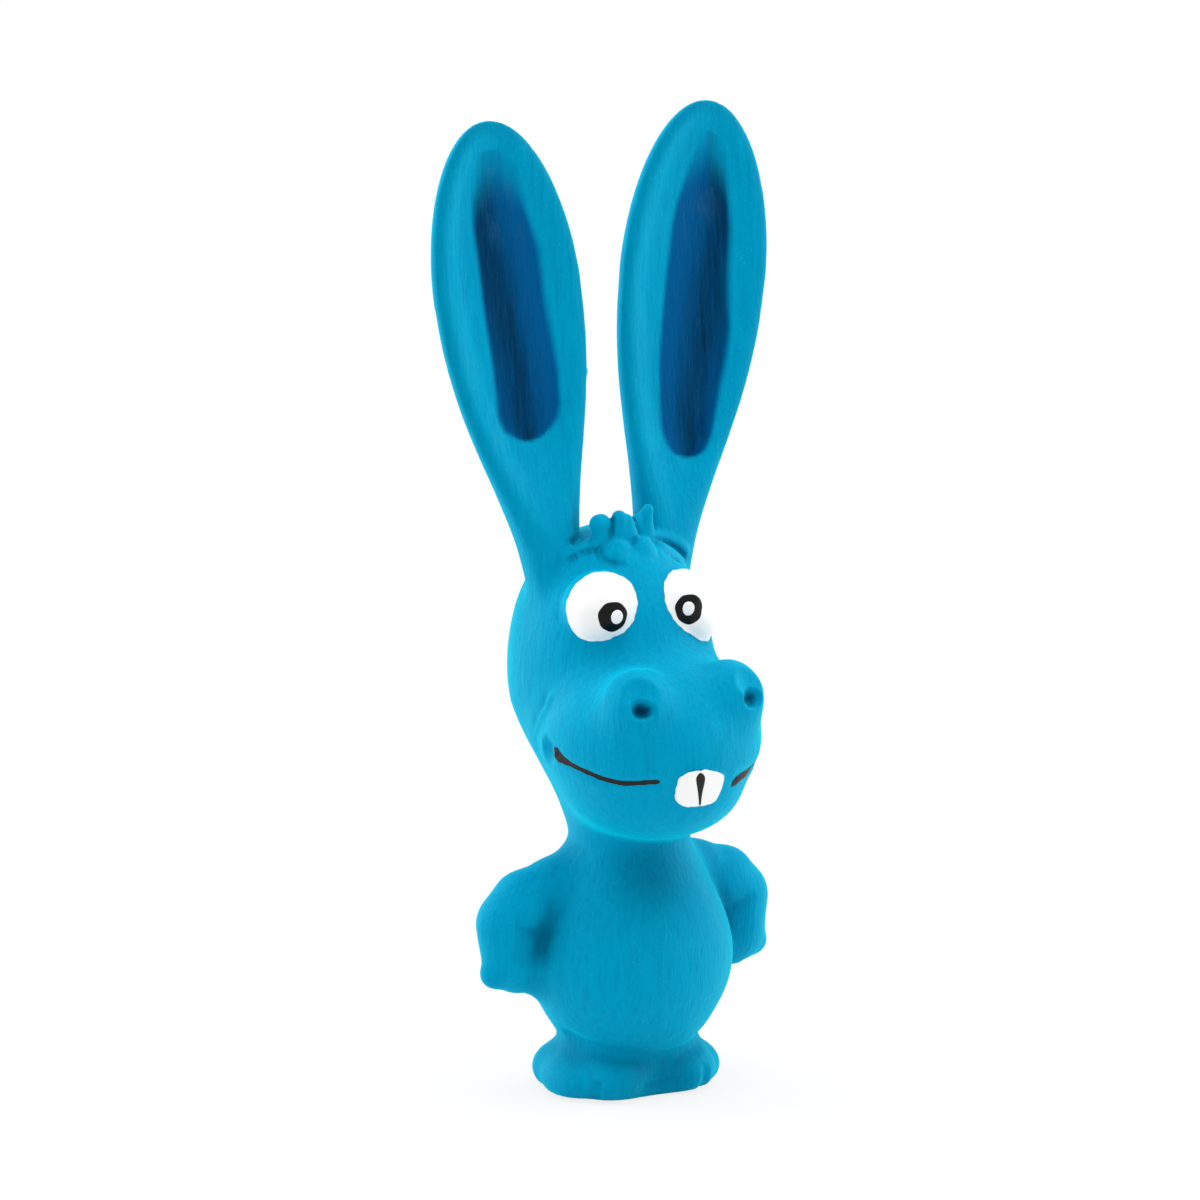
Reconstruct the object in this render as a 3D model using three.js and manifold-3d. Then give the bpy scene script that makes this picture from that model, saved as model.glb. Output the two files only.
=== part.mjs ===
// A squeaky dog toy: a long-eared donkey figure cast in one hollow latex skin, with films of coloured
// latex brushed on for its face and ears, and a reed squeaker plugged into its base.
// Millimetres. +X is the toy's left, -Y its front and +Z up, and it stands on Z = 0.
import * as THREE from "three";
import { mergeVertices } from "three/addons/utils/BufferGeometryUtils.js";
import Module from "manifold-3d";

const wasm = await Module();
wasm.setup();

// Driving sizes. A form's side, front and rise place its centre, and its halves are its radii.
const clearance = 0.35; // between two pieces that touch on the real toy
const overrun = 1; // how far a cutter runs past what it cuts
const weld = 1e-4; // corners nearer than this are one corner
const skin = { wall: 2.6, base: 5 };
const film = { thickness: 0.5, step: 0.4 }; // step: how far each further coat lies over the last

// The trunk: rises are above the ground.
const belly = { side: 0, front: 0.5, rise: 30.5, halfWidth: 23.8, halfDepth: 20.5, halfHeight: 22.5 };
const base = { radius: 12.5 };
const chest = { radius: 15.5, rise: 43 };
const neck = { radius: 13, rise: 59, blend: 9 };
const innerToe = { side: 9, front: 5.2, rise: 4.8, halfWidth: 8.6, halfDepth: 10, halfHeight: 7 };
const outerToe = { side: 14.7, front: 0.6, rise: 5.2, halfWidth: 7.2, halfDepth: 9.6, halfHeight: 7 };
const heel = { side: 9, front: -6.8, rise: 4.6, halfWidth: 10.8, halfDepth: 10.5, halfHeight: 7.6 };
const foot = { blend: 1.6, ankleBlend: 2.4 };
const toeNotch = { side: 15.2, front: 12, rise: 0, radius: 1.6, height: 4.4 };

// The head: rises are above the neck's top.
const cranium = { side: 0, front: -8.8, rise: 39, halfWidth: 22.2, halfDepth: 23.2, halfHeight: 28.8 };
const nape = { radius: 20.5, front: -6.5, rise: 30, blend: 8 };
const muzzle = { side: 0, front: 9.2, rise: 23, halfWidth: 24.8, halfDepth: 24.4, halfHeight: 20, blend: 5 };
const jaw = { side: 0, front: 10.3, rise: 12, halfWidth: 20, halfDepth: 19.4, halfHeight: 12, blend: 2.4 };
const eyeSeat = { turn: 37, tilt: 38.6, sunk: 3.5 }; // where on the cranium an eyeball sits, and how deep
const eye = { radius: 8.5, turn: 16, tilt: 6, spread: 72 };
const pupil = { turn: -12.5, tilt: -6, radius: 3.3 };
const glint = { turn: -11, tilt: -5.5, radius: 1.45 };
const nostril = { side: 12, front: 23.6, rise: 33, radius: 7.4, blend: 2 };
const nostrilHole = { turn: 24, tilt: 15, radius: 1.8, depth: 3 };
const lock = { turn: 13, tilt: 63, radius: 3.8, sunk: 1.8, blend: 1.2 }; // one of a pair on the forehead
const rightKnob = { turn: -44, tilt: 71, radius: 2.6, reach: 7.6 };
const middleKnob = { turn: -3, tilt: 73, radius: 2.7, reach: 7.6 };
const leftKnob = { turn: 34, tilt: 76, radius: 2.3, reach: 9 };
const hairRoot = 3.5; // how deep each knob of hair is rooted in the head

// Mouth and teeth, in degrees round the muzzle's centre.
const mouth = { fromTurn: 22, toTurn: 88, frontTilt: -12.7, cornerTilt: 1.3, width: 1.2 };
const teeth = { turn: 14.6, topTilt: -8, bottomTilt: -27.5, proud: 0.8 };
const toothLine = { topTilt: -9.1, bottomTilt: -26, topWidth: 2, bottomWidth: 0.7 };
const toothCornerShare = 1.18; // stretches a disc's outline towards a square's

// An ear: a cupped blade along a curved spine, from its root in the head.
const ear = {
  rootSide: 13.3, rootBack: 9, rootRise: 54, reachSide: 15.2, reachBack: 5.4, bowSide: 1.6, span: 109.2,
  halfWidth: 18.6, thickness: 8, rootThickness: 11, cup: 2, dish: 2.4, sunk: 9,
};
const earWidthShares = [
  [0, 0.34], [0.09, 0.4], [0.28, 0.55], [0.48, 0.73], [0.68, 0.88], [0.86, 0.97], [1, 1],
];
const earWidestShare = 0.64; // where along its length an ear is widest
const earThickShare = 0.34; // where along its length the thick root has thinned down to the blade
const earRimShare = 0.72; // how far out from its middle an ear's dish ends
const earFullness = 0.7; // the power of an ear's rounded section: under 1 is squarer than an ellipse
const earTipTurn = 87; // degrees of a sine that space an ear's rings, closest at the tip
// Each ear's lining is brushed on by hand: shift is towards the toy's side.
const leftLining = { shift: 1.2, halfWidth: 7, alongShares: [0.275, 0.88] };
const rightLining = { shift: 0, halfWidth: 7.8, alongShares: [0.333, 0.87] };
const liningEndShare = 0.93; // how far a lining's round ends have closed at their last row

// An arm: a bent limb, hand on hip, with a web of latex in the crook. Rises are above the ground.
const armRoot = { side: 8, front: -1, rise: 50, halfHeight: 8, halfDepth: 7 };
const shoulder = { side: 17, front: -2, rise: 48.4, halfHeight: 8, halfDepth: 7 };
const upperArm = { side: 25.2, front: -2.8, rise: 45.6, halfHeight: 8, halfDepth: 6.8 };
const elbow = { side: 29.6, front: -3, rise: 40.6, halfHeight: 8, halfDepth: 6.6 };
const forearm = { side: 29.2, front: -2.8, rise: 35.5, halfHeight: 7.4, halfDepth: 6.4 };
const hand = { side: 28.6, front: -2.4, rise: 30, halfHeight: 7, halfDepth: 6.2 };
const fingers = { side: 28, front: -2, rise: 25.5, halfHeight: 5.6, halfDepth: 4.8 };
const web = { side: 22, front: -2, rise: 36, halfWidth: 8, halfDepth: 4.4, halfHeight: 10 };
const fingerNotch = { side: 30.5, front: 3.2, rise: 23.6, radius: 1.3, height: 4.4 };

// The squeaker: a flanged barrel that grips the latex base, with a reed clamped over a channel inside.
const plug = { recess: 0.8, flangeRadius: 7.6, flangeThickness: 1.3, stemRadius: 5.6, snapRadius: 6.9 };
const barrel = { boreRadius: 4.4, floor: 1.2, ventRadius: 1.4 };
const reedBlock = { footThickness: 1.2, height: 13, channelWidth: 2.6, channelDepth: 1.8, grip: 4.4 };
const reed = { width: 4, thickness: 0.3, tipGap: 0.9 };
const cap = { thickness: 1.2, spigot: 1.6, wall: 1, holeRadius: 1.5 };

// Mesh fineness: counts only. A grid is a film's columns and rows.
const fineness = {
  headAround: 44, headUp: 30, trunkAround: 40, trunkUp: 24, hollowAround: 24, hollowUp: 14, earAround: 20,
  earAlong: 18, limbAround: 14, limbAlong: 16, ballAround: 24, ballUp: 14, knobAround: 8, capRings: 3,
  notchAround: 8, holeAround: 10, round: 28, castSteps: 320, bisections: 24,
};
const grids = {
  eyeWhite: [10, 10], pupil: [6, 6], glint: [4, 4], teeth: [8, 6], toothLine: [2, 6], mouthLine: [18, 1],
  earLining: [6, 16],
};

const radians = THREE.MathUtils.degToRad;
const degrees = THREE.MathUtils.radToDeg;
const { lerp, clamp, smoothstep } = THREE.MathUtils;
const up = new THREE.Vector3(0, 0, 1);

const centreOf = (size, baseRise = 0) => new THREE.Vector3(size.side, -size.front, baseRise + size.rise);

// Turn is round the vertical from the toy's front, towards its left, and tilt is upwards.
function heading(turn, tilt) {
  const flat = Math.cos(radians(tilt));
  return new THREE.Vector3(
    flat * Math.sin(radians(turn)), -flat * Math.cos(radians(turn)), Math.sin(radians(tilt)),
  );
}

// A form is a function of a point: negative inside, zero on the surface, positive outside.
function ellipsoid(size, baseRise = 0) {
  const centre = centreOf(size, baseRise);
  const { halfWidth, halfDepth, halfHeight } = size;
  return (x, y, z) => {
    const [qx, qy, qz] = [(x - centre.x) / halfWidth, (y - centre.y) / halfDepth, (z - centre.z) / halfHeight];
    const share = Math.hypot(qx, qy, qz);
    const slope = Math.hypot(qx / halfWidth, qy / halfDepth, qz / halfHeight);
    return slope > 0 ? (share * (share - 1)) / slope : -Math.min(halfWidth, halfDepth, halfHeight);
  };
}

const ball = (centre, radius) => (x, y, z) =>
  Math.hypot(x - centre.x, y - centre.y, z - centre.z) - radius;

// A rod from one ball to another, its radius changing evenly between them.
function taper(from, fromRadius, to, toRadius) {
  const along = to.clone().sub(from);
  const p = new THREE.Vector3();
  return (x, y, z) => {
    p.set(x, y, z).sub(from);
    const share = clamp(p.dot(along) / along.lengthSq(), 0, 1);
    return p.addScaledVector(along, -share).length() - lerp(fromRadius, toRadius, share);
  };
}

const mirrored = (form) => (x, y, z) => form(Math.abs(x), y, z);

// Forms run together with a fillet that reaches about as far as blend.
function joined(blend, ...forms) {
  return (x, y, z) => {
    let near = forms[0](x, y, z);
    for (const form of forms.slice(1)) {
      const next = form(x, y, z);
      const share = Math.max(blend - Math.abs(near - next), 0) / blend;
      near = Math.min(near, next) - (share * share * blend) / 4;
    }
    return near;
  };
}

// How far a ray from inside a form goes before the form's value passes level.
const castReach = cranium.halfHeight + cranium.halfDepth + muzzle.halfDepth + belly.halfWidth;
function castDistance(form, origin, direction, level = 0) {
  const value = (t) =>
    form(origin.x + direction.x * t, origin.y + direction.y * t, origin.z + direction.z * t) - level;
  const step = castReach / fineness.castSteps;
  let outside = step;
  while (outside < castReach && value(outside) < 0) outside += step;
  let inside = outside - step;
  for (let i = 0; i < fineness.bisections; i++) {
    const middle = (inside + outside) / 2;
    if (value(middle) < 0) inside = middle;
    else outside = middle;
  }
  return inside;
}

const cast = (form, origin, direction, level) =>
  origin.clone().addScaledVector(direction, castDistance(form, origin, direction, level));

// A closed geometry as a solid with its faces pointing out.
function solid(geometry) {
  const bare = geometry.clone();
  bare.deleteAttribute("normal");
  bare.deleteAttribute("uv");
  const merged = mergeVertices(bare, weld);
  const corners = merged.index.array;
  const kept = [];
  for (let i = 0; i < corners.length; i += 3) {
    const [a, b, c] = corners.subarray(i, i + 3);
    if (a !== b && b !== c && c !== a) kept.push(a, b, c);
  }
  const made = (order) =>
    new wasm.Manifold(
      new wasm.Mesh({
        numProp: 3,
        vertProperties: new Float32Array(merged.attributes.position.array),
        triVerts: new Uint32Array(order),
      }),
    );
  const first = made(kept);
  return first.volume() >= 0 ? first : made(kept.reverse());
}

function geometryOf(body) {
  const { numProp, numVert, vertProperties, triVerts } = body.getMesh();
  const positions = new Float32Array(numVert * 3);
  for (let i = 0; i < numVert; i++) {
    positions.set(vertProperties.subarray(i * numProp, i * numProp + 3), i * 3);
  }
  return new THREE.BufferGeometry()
    .setAttribute("position", new THREE.BufferAttribute(positions, 3))
    .setIndex(new THREE.BufferAttribute(triVerts, 1));
}

const mirrorX = (body) => solid(geometryOf(body).scale(-1, 1, 1));
const upright = (geometry) => geometry.rotateX(Math.PI / 2);
const placed = (geometry, p) => solid(geometry.translate(p.x, p.y, p.z));

// A geometry that stands on its own up axis, laid along a direction from a point.
const aimed = (geometry, direction, from) =>
  placed(geometry.applyQuaternion(new THREE.Quaternion().setFromUnitVectors(up, direction)), from);

function eachVertex(geometry, move) {
  const position = geometry.attributes.position;
  const p = new THREE.Vector3();
  for (let i = 0; i < position.count; i++) {
    move(p.fromBufferAttribute(position, i));
    position.setXYZ(i, p.x, p.y, p.z);
  }
  return geometry;
}

// A sphere whose vertices are cast outwards onto a form.
function mouldedBall(form, origin, around, upwards, level = 0) {
  return solid(
    eachVertex(upright(new THREE.SphereGeometry(1, around, upwards)), (p) =>
      p.copy(cast(form, origin, p.normalize(), level)),
    ),
  );
}

// A closed cylinder whose vertices are cast sideways onto a form, between two heights.
function mouldedColumn(form, bottom, top, around, upwards, level = 0) {
  return solid(
    eachVertex(upright(new THREE.CylinderGeometry(1, 1, 1, around, upwards)), (p) => {
      const axis = new THREE.Vector3(0, 0, lerp(bottom, top, p.z + 1 / 2));
      const sideways = new THREE.Vector3(p.x, p.y, 0);
      const reach = sideways.length() > 0 ? castDistance(form, axis, sideways.normalize(), level) : 0;
      p.copy(axis).addScaledVector(sideways, reach);
    }),
  );
}

// A closed solid through rings of points, with each end ring filled in from its middle.
function loft(rings) {
  const count = rings[0].length;
  const points = rings.flat();
  const index = [];
  for (let r = 0; r + 1 < rings.length; r++) {
    for (let i = 0; i < count; i++) {
      const next = (i + 1) % count;
      const [a, b, c, d] = [r * count + i, r * count + next, (r + 1) * count + next, (r + 1) * count + i];
      index.push(a, b, c, a, c, d);
    }
  }
  for (const ring of [0, rings.length - 1]) {
    const sum = rings[ring].reduce((total, p) => total.add(p), new THREE.Vector3());
    const middle = points.push(sum.divideScalar(count)) - 1;
    for (let i = 0; i < count; i++) {
      const [a, b] = [ring * count + i, ring * count + ((i + 1) % count)];
      index.push(middle, ...(ring > 0 ? [a, b] : [b, a]));
    }
  }
  return solid(new THREE.BufferGeometry().setFromPoints(points).setIndex(index));
}

// A thin closed sheet over a grid: place(u, v, lift) gives a point, with u and v from -1 to 1.
function sheet([columns, rows], place, low, high) {
  const points = [];
  for (const lift of [low, high]) {
    for (let j = 0; j <= rows; j++) {
      for (let i = 0; i <= columns; i++) {
        points.push(place((2 * i) / columns - 1, (2 * j) / rows - 1, lift));
      }
    }
  }
  const at = (i, j, layer) => (layer * (rows + 1) + j) * (columns + 1) + i;
  const index = [];
  const quad = (a, b, c, d) => index.push(a, b, c, a, c, d);
  for (let j = 0; j < rows; j++) {
    for (let i = 0; i < columns; i++) {
      quad(at(i, j, 1), at(i + 1, j, 1), at(i + 1, j + 1, 1), at(i, j + 1, 1));
      quad(at(i, j, 0), at(i, j + 1, 0), at(i + 1, j + 1, 0), at(i + 1, j, 0));
    }
  }
  for (let i = 0; i < columns; i++) {
    quad(at(i, 0, 0), at(i + 1, 0, 0), at(i + 1, 0, 1), at(i, 0, 1));
    quad(at(i, rows, 0), at(i, rows, 1), at(i + 1, rows, 1), at(i + 1, rows, 0));
  }
  for (let j = 0; j < rows; j++) {
    quad(at(0, j, 0), at(0, j, 1), at(0, j + 1, 1), at(0, j + 1, 0));
    quad(at(columns, j, 0), at(columns, j + 1, 0), at(columns, j + 1, 1), at(columns, j, 1));
  }
  return solid(new THREE.BufferGeometry().setFromPoints(points).setIndex(index));
}

// A square grid's place in a disc of radius 1.
const inDisc = (u, v) => [u * Math.sqrt(1 - (v * v) / 2), v * Math.sqrt(1 - (u * u) / 2)];

// The head's form.
const headBase = neck.rise;
const neckTop = new THREE.Vector3(0, 0, headBase);
const craniumCentre = centreOf(cranium, headBase);
const muzzleCentre = centreOf(muzzle, headBase);
const nostrilCentre = centreOf(nostril, headBase);
const craniumForm = ellipsoid(cranium, headBase);

// A point at a turn and a tilt on the cranium, or sunk below it.
function onCranium({ turn, tilt }, sunk) {
  const direction = heading(turn, tilt);
  return cast(craniumForm, craniumCentre, direction).addScaledVector(direction, -sunk);
}

const eyeCentre = onCranium(eyeSeat, eyeSeat.sunk);
const lockCentre = onCranium(lock, lock.sunk);

const napeCentre = new THREE.Vector3(0, -nape.front, headBase + nape.rise);
const skull = joined(nape.blend, craniumForm, taper(neckTop, neck.radius, napeCentre, nape.radius));
const snout = joined(jaw.blend, ellipsoid(muzzle, headBase), ellipsoid(jaw, headBase));
const faceForm = joined(muzzle.blend, skull, snout);
const nosedForm = joined(nostril.blend, faceForm, mirrored(ball(nostrilCentre, nostril.radius)));
const headForm = joined(lock.blend, nosedForm, mirrored(ball(lockCentre, lock.radius)));
const headCentre = craniumCentre.clone().lerp(muzzleCentre, 1 / 2);
const headBall = (level) => mouldedBall(headForm, headCentre, fineness.headAround, fineness.headUp, level);

// The trunk's form.
const chestCentre = new THREE.Vector3(0, 0, chest.rise);
const torso = joined(
  neck.blend,
  ellipsoid(belly),
  taper(chestCentre, chest.radius, neckTop, neck.radius),
  taper(new THREE.Vector3(), base.radius, chestCentre, base.radius),
);
const feetForm = mirrored(joined(foot.blend, ellipsoid(innerToe), ellipsoid(outerToe), ellipsoid(heel)));
const trunkForm = joined(foot.ankleBlend, torso, feetForm);
const trunkTop = neck.rise + neck.radius / 2;

// An ear's own frame: a spine, and a section across it.
const earRoot = new THREE.Vector3(ear.rootSide, ear.rootBack, headBase + ear.rootRise);
const earRise = Math.sqrt(ear.span ** 2 - ear.reachSide ** 2 - ear.reachBack ** 2);
const earTip = earRoot.clone().add(new THREE.Vector3(ear.reachSide, ear.reachBack, earRise));
const earBow = earRoot.clone().lerp(earTip, 1 / 2).add(new THREE.Vector3(ear.bowSide, 0, 0));
const earSpine = new THREE.QuadraticBezierCurve3(earRoot, earBow, earTip);
const earOutline = new THREE.SplineCurve(earWidthShares.map(([s, w]) => new THREE.Vector2(s, w)));

// How far an ear has closed in towards its round tip: 1 up to where it is widest, and 0 at the tip.
function earClosing(share) {
  const past = Math.max(0, share - earWidestShare) / (1 - earWidestShare);
  return Math.sqrt(Math.max(0, 1 - past ** 2));
}

function earHalfWidth(share) {
  const flare = earOutline.getPoint(clamp(share / earWidestShare, 0, 1)).y;
  return ear.halfWidth * flare * earClosing(share);
}

function earThickness(share) {
  const blade = lerp(ear.rootThickness, ear.thickness, smoothstep(share, 0, earThickShare));
  return blade * Math.sqrt(earClosing(share));
}

// A point in an ear at shares of its length and of its half width, and a lift out of the blade's middle.
function earPoint(share, across, lift) {
  const along = clamp(share, 0, 1);
  const p = earSpine.getPoint(along);
  const tangent = earSpine.getTangent(along);
  const sideways = new THREE.Vector3(1, 0, 0).addScaledVector(tangent, -tangent.x).normalize();
  const backwards = new THREE.Vector3().crossVectors(tangent, sideways);
  const cup = ear.cup * smoothstep(share, 0, earWidestShare) * earClosing(share) * (1 - across ** 2);
  return p
    .addScaledVector(tangent, (share - along) * ear.span)
    .addScaledVector(sideways, across * earHalfWidth(share))
    .addScaledVector(backwards, cup + lift);
}

// How far an ear's front face lies before the blade's middle: a round rim, and a dish inside it.
function earFront(share, across) {
  const rim = (earThickness(share) / 2) * Math.sqrt(Math.max(0, 1 - across ** 2)) ** earFullness;
  const dish = ear.dish * smoothstep(share, 0, earThickShare) * earClosing(share);
  return rim - dish * Math.max(0, 1 - (across / earRimShare) ** 2) ** 2;
}

function earBlade() {
  const rings = [];
  for (let r = 0; r <= fineness.earAlong; r++) {
    const share = lerp(-ear.sunk / ear.span, 1, Math.sin((r / fineness.earAlong) * radians(earTipTurn)));
    const ring = [];
    for (let i = 0; i < fineness.earAround; i++) {
      const angle = (i / fineness.earAround) * 2 * Math.PI;
      const across = Math.cos(angle);
      const back = (earThickness(share) / 2) * Math.abs(Math.sin(angle)) ** earFullness;
      ring.push(earPoint(share, across, Math.sin(angle) > 0 ? back : -earFront(share, across)));
    }
    rings.push(ring);
  }
  return loft(rings);
}

// An arm: rings across a bent path, with their long half in the plane of the bend.
function armLimb() {
  const stations = [armRoot, shoulder, upperArm, elbow, forearm, hand, fingers];
  const path = new THREE.CatmullRomCurve3(stations.map((station) => centreOf(station)));
  const last = stations.length - 1;
  const rings = [];
  for (let r = 0; r <= fineness.limbAlong; r++) {
    const share = r / fineness.limbAlong;
    const before = Math.min(Math.floor(share * last), last - 1);
    const size = (key) => lerp(stations[before][key], stations[before + 1][key], share * last - before);
    const across = new THREE.Vector3().crossVectors(path.getTangent(share), new THREE.Vector3(0, 1, 0));
    across.normalize().multiplyScalar(size("halfHeight"));
    const through = new THREE.Vector3(0, size("halfDepth"), 0);
    const ring = [];
    for (let i = 0; i < fineness.limbAround; i++) {
      const angle = (i / fineness.limbAround) * 2 * Math.PI;
      const p = path.getPoint(share).addScaledVector(across, Math.cos(angle));
      ring.push(p.addScaledVector(through, Math.sin(angle)));
    }
    rings.push(ring);
  }
  return loft(rings);
}

function armWeb() {
  const geometry = new THREE.SphereGeometry(1, fineness.limbAround, fineness.limbAround / 2);
  return placed(geometry.scale(web.halfWidth, web.halfDepth, web.halfHeight), centreOf(web));
}

const eyeball = () =>
  placed(new THREE.SphereGeometry(eye.radius, fineness.ballAround, fineness.ballUp), eyeCentre);

// A knob of hair that leans out of the crown.
function hairKnob(knob) {
  const straight = knob.reach + hairRoot - knob.radius;
  const geometry = new THREE.CapsuleGeometry(knob.radius, straight, fineness.capRings, fineness.knobAround);
  const standing = upright(geometry).translate(0, 0, straight / 2);
  return aimed(standing, heading(knob.turn, knob.tilt), onCranium(knob, hairRoot));
}

// A tapered notch between two toes or fingers, widest at the bottom.
function notch(size) {
  const height = size.height + overrun;
  const geometry = upright(new THREE.ConeGeometry(size.radius, height, fineness.notchAround));
  return placed(geometry.translate(0, 0, height / 2 - overrun), centreOf(size));
}

// A round hole that goes into the front of a nostril, narrowing inwards.
function nostrilBore() {
  const { radius, depth, turn, tilt } = nostrilHole;
  const direction = heading(turn, tilt);
  const length = depth + overrun;
  const geometry = upright(new THREE.CylinderGeometry(radius, radius / 2, length, fineness.holeAround));
  return aimed(geometry.translate(0, 0, length / 2 - depth), direction, cast(nosedForm, nostrilCentre, direction));
}

// A turned solid from points of radius and height, which start and end on the axis or close on themselves.
function turned(outline) {
  const points = outline.map(([radius, height]) => new THREE.Vector2(radius, height));
  return solid(upright(new THREE.LatheGeometry(points, fineness.round)));
}

const disc = (radius, bottom, top) => turned([[0, bottom], [radius, bottom], [radius, top], [0, top]]);

// The latex skin: every outer form in one, less its hollow and the seat of the squeaker.
const flangeTop = plug.recess + plug.flangeThickness;
function latexSkin() {
  const { trunkAround, trunkUp, hollowAround, hollowUp } = fineness;
  let outer = mouldedColumn(trunkForm, 0, trunkTop, trunkAround, trunkUp);
  outer = outer.add(headBall(0)).add(teethSheet(-skin.wall / 2, teeth.proud));
  for (const form of [eyeball(), earBlade(), armLimb(), armWeb()]) outer = outer.add(form).add(mirrorX(form));
  for (const knob of [rightKnob, middleKnob, leftKnob]) outer = outer.add(hairKnob(knob));
  for (const cut of [notch(toeNotch), notch(fingerNotch), nostrilBore()]) {
    outer = outer.subtract(cut).subtract(mirrorX(cut));
  }
  return outer
    .subtract(mouldedColumn(torso, skin.base, trunkTop, hollowAround, hollowUp, -skin.wall))
    .subtract(mouldedBall(faceForm, headCentre, hollowAround, hollowUp, -skin.wall))
    .subtract(disc(plug.flangeRadius + clearance, -overrun, flangeTop + clearance))
    .subtract(disc(plug.stemRadius + clearance, 0, skin.base + overrun));
}

// Painted films. Each coat lies a clearance above what it is brushed on.
const coat = (number) => clearance + number * (film.thickness + film.step);
const filmSheet = (grid, place, low) => sheet(grid, place, low, low + film.thickness);

// A round film on an eyeball, facing a turn and a tilt, that stops where the eyeball runs into the face.
// Side is 1 on the toy's left and -1 on its right.
const faceClear = headBall(clearance);
function eyeFilm(side, facing, spread, grid, number) {
  const axis = heading(facing.turn, facing.tilt);
  const sideways = new THREE.Vector3().crossVectors(axis, up).normalize();
  const upwards = new THREE.Vector3().crossVectors(sideways, axis);
  const centre = eyeCentre.clone().multiply(new THREE.Vector3(side, 1, 1));
  const place = (u, v, lift) => {
    const [a, b] = inDisc(u, v);
    const angle = Math.hypot(a, b) * radians(spread);
    const flat = new THREE.Vector3().addScaledVector(sideways, a).addScaledVector(upwards, b).normalize();
    const direction = axis.clone().multiplyScalar(Math.cos(angle)).addScaledVector(flat, Math.sin(angle));
    return centre.clone().addScaledVector(direction, eye.radius + lift);
  };
  return filmSheet(grid, place, coat(number)).subtract(faceClear);
}

const capAngle = (radius) => degrees(Math.asin(radius / eye.radius));

// A sheet on the snout, at turns and tilts round the muzzle's centre.
function snoutSheet(grid, spot, low, high = low + film.thickness) {
  const place = (u, v, lift) => {
    const { turn, tilt } = spot(u, v);
    return cast(headForm, muzzleCentre, heading(turn, tilt), lift);
  };
  return sheet(grid, place, low, high);
}

const onMuzzle = (length) => degrees(length / muzzle.halfDepth);
const fromBottom = (v) => (v + 1) / 2;

// The two front teeth are one block with round corners that stands proud of the jaw.
function teethSheet(low, high) {
  const spot = (u, v) => {
    const [a, b] = inDisc(u, v).map((t) => clamp(t * toothCornerShare, -1, 1));
    return { turn: a * teeth.turn, tilt: lerp(teeth.bottomTilt, teeth.topTilt, fromBottom(b)) };
  };
  return snoutSheet(grids.teeth, spot, low, high);
}

// The dark line between the teeth tapers downwards.
function toothLineSheet() {
  const spot = (u, v) => {
    const width = lerp(toothLine.bottomWidth, toothLine.topWidth, fromBottom(v));
    const tilt = lerp(toothLine.bottomTilt, toothLine.topTilt, fromBottom(v));
    return { turn: (u * onMuzzle(width)) / 2, tilt };
  };
  return snoutSheet(grids.toothLine, spot, teeth.proud + coat(1));
}

// The line of the mouth runs level beside the teeth and turns up at its corner.
function mouthLineSheet() {
  const spot = (u, v) => {
    const share = (u + 1) / 2;
    const tilt = lerp(mouth.frontTilt, mouth.cornerTilt, share ** 2) + (v * onMuzzle(mouth.width)) / 2;
    return { turn: lerp(mouth.fromTurn, mouth.toTurn, share), tilt };
  };
  return snoutSheet(grids.mouthLine, spot, coat(0));
}

// The dark lining in an ear's dish: a long patch with round ends.
function earLining(lining) {
  const [from, to] = lining.alongShares;
  const halfSpan = ((to - from) * ear.span) / 2;
  const straight = halfSpan - lining.halfWidth;
  const place = (u, v, lift) => {
    const pastStraight = Math.max(0, Math.abs(v) * halfSpan - straight) / lining.halfWidth;
    const halfWidth = lining.halfWidth * Math.sqrt(1 - liningEndShare * pastStraight ** 2);
    const share = lerp(from, to, fromBottom(v));
    const across = (lining.shift + u * halfWidth) / earHalfWidth(share);
    return earPoint(share, across, -earFront(share, across) - lift);
  };
  return filmSheet(grids.earLining, place, coat(0));
}

// The squeaker's pieces, on the toy's upright axis. Air leaves the hollow through the cap, passes the reed
// into the block's channel, and goes out through the barrel's vent.
const blockBottom = plug.recess + barrel.floor + clearance;
const blockTop = blockBottom + reedBlock.height;
const channelTop = blockTop - reedBlock.grip;
const barrelTop = blockTop + clearance + cap.spigot;
const coreRadius = barrel.boreRadius - clearance;

function squeakerBarrel() {
  const floorTop = plug.recess + barrel.floor;
  const snapBottom = skin.base + clearance;
  return turned([
    [barrel.ventRadius, plug.recess], [plug.flangeRadius, plug.recess], [plug.flangeRadius, flangeTop],
    [plug.stemRadius, flangeTop], [plug.stemRadius, snapBottom], [plug.snapRadius, snapBottom],
    [plug.stemRadius, snapBottom + plug.flangeThickness], [plug.stemRadius, barrelTop],
    [barrel.boreRadius, barrelTop], [barrel.boreRadius, floorTop], [barrel.ventRadius, floorTop],
    [barrel.ventRadius, plug.recess],
  ]);
}

function squeakerCap() {
  const spigotRadius = barrel.boreRadius - clearance;
  const bottom = barrelTop + clearance;
  return turned([
    [cap.holeRadius, bottom + cap.thickness], [cap.holeRadius, bottom],
    [spigotRadius - cap.wall, bottom], [spigotRadius - cap.wall, barrelTop - cap.spigot],
    [spigotRadius, barrelTop - cap.spigot], [spigotRadius, bottom], [plug.stemRadius, bottom],
    [plug.stemRadius, bottom + cap.thickness], [cap.holeRadius, bottom + cap.thickness],
  ]);
}

function box(width, depth, height, y, bottom) {
  return placed(new THREE.BoxGeometry(width, depth, height), new THREE.Vector3(0, y, bottom + height / 2));
}

// The part of the core behind an upright face, with side 1, or before it, with side -1.
function halfCore(bottom, top, face, side) {
  const wide = 2 * plug.flangeRadius;
  const half = box(wide, wide, top - bottom + 2 * overrun, face + (side * wide) / 2, bottom - overrun);
  return disc(coreRadius, bottom, top).intersect(half);
}

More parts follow.
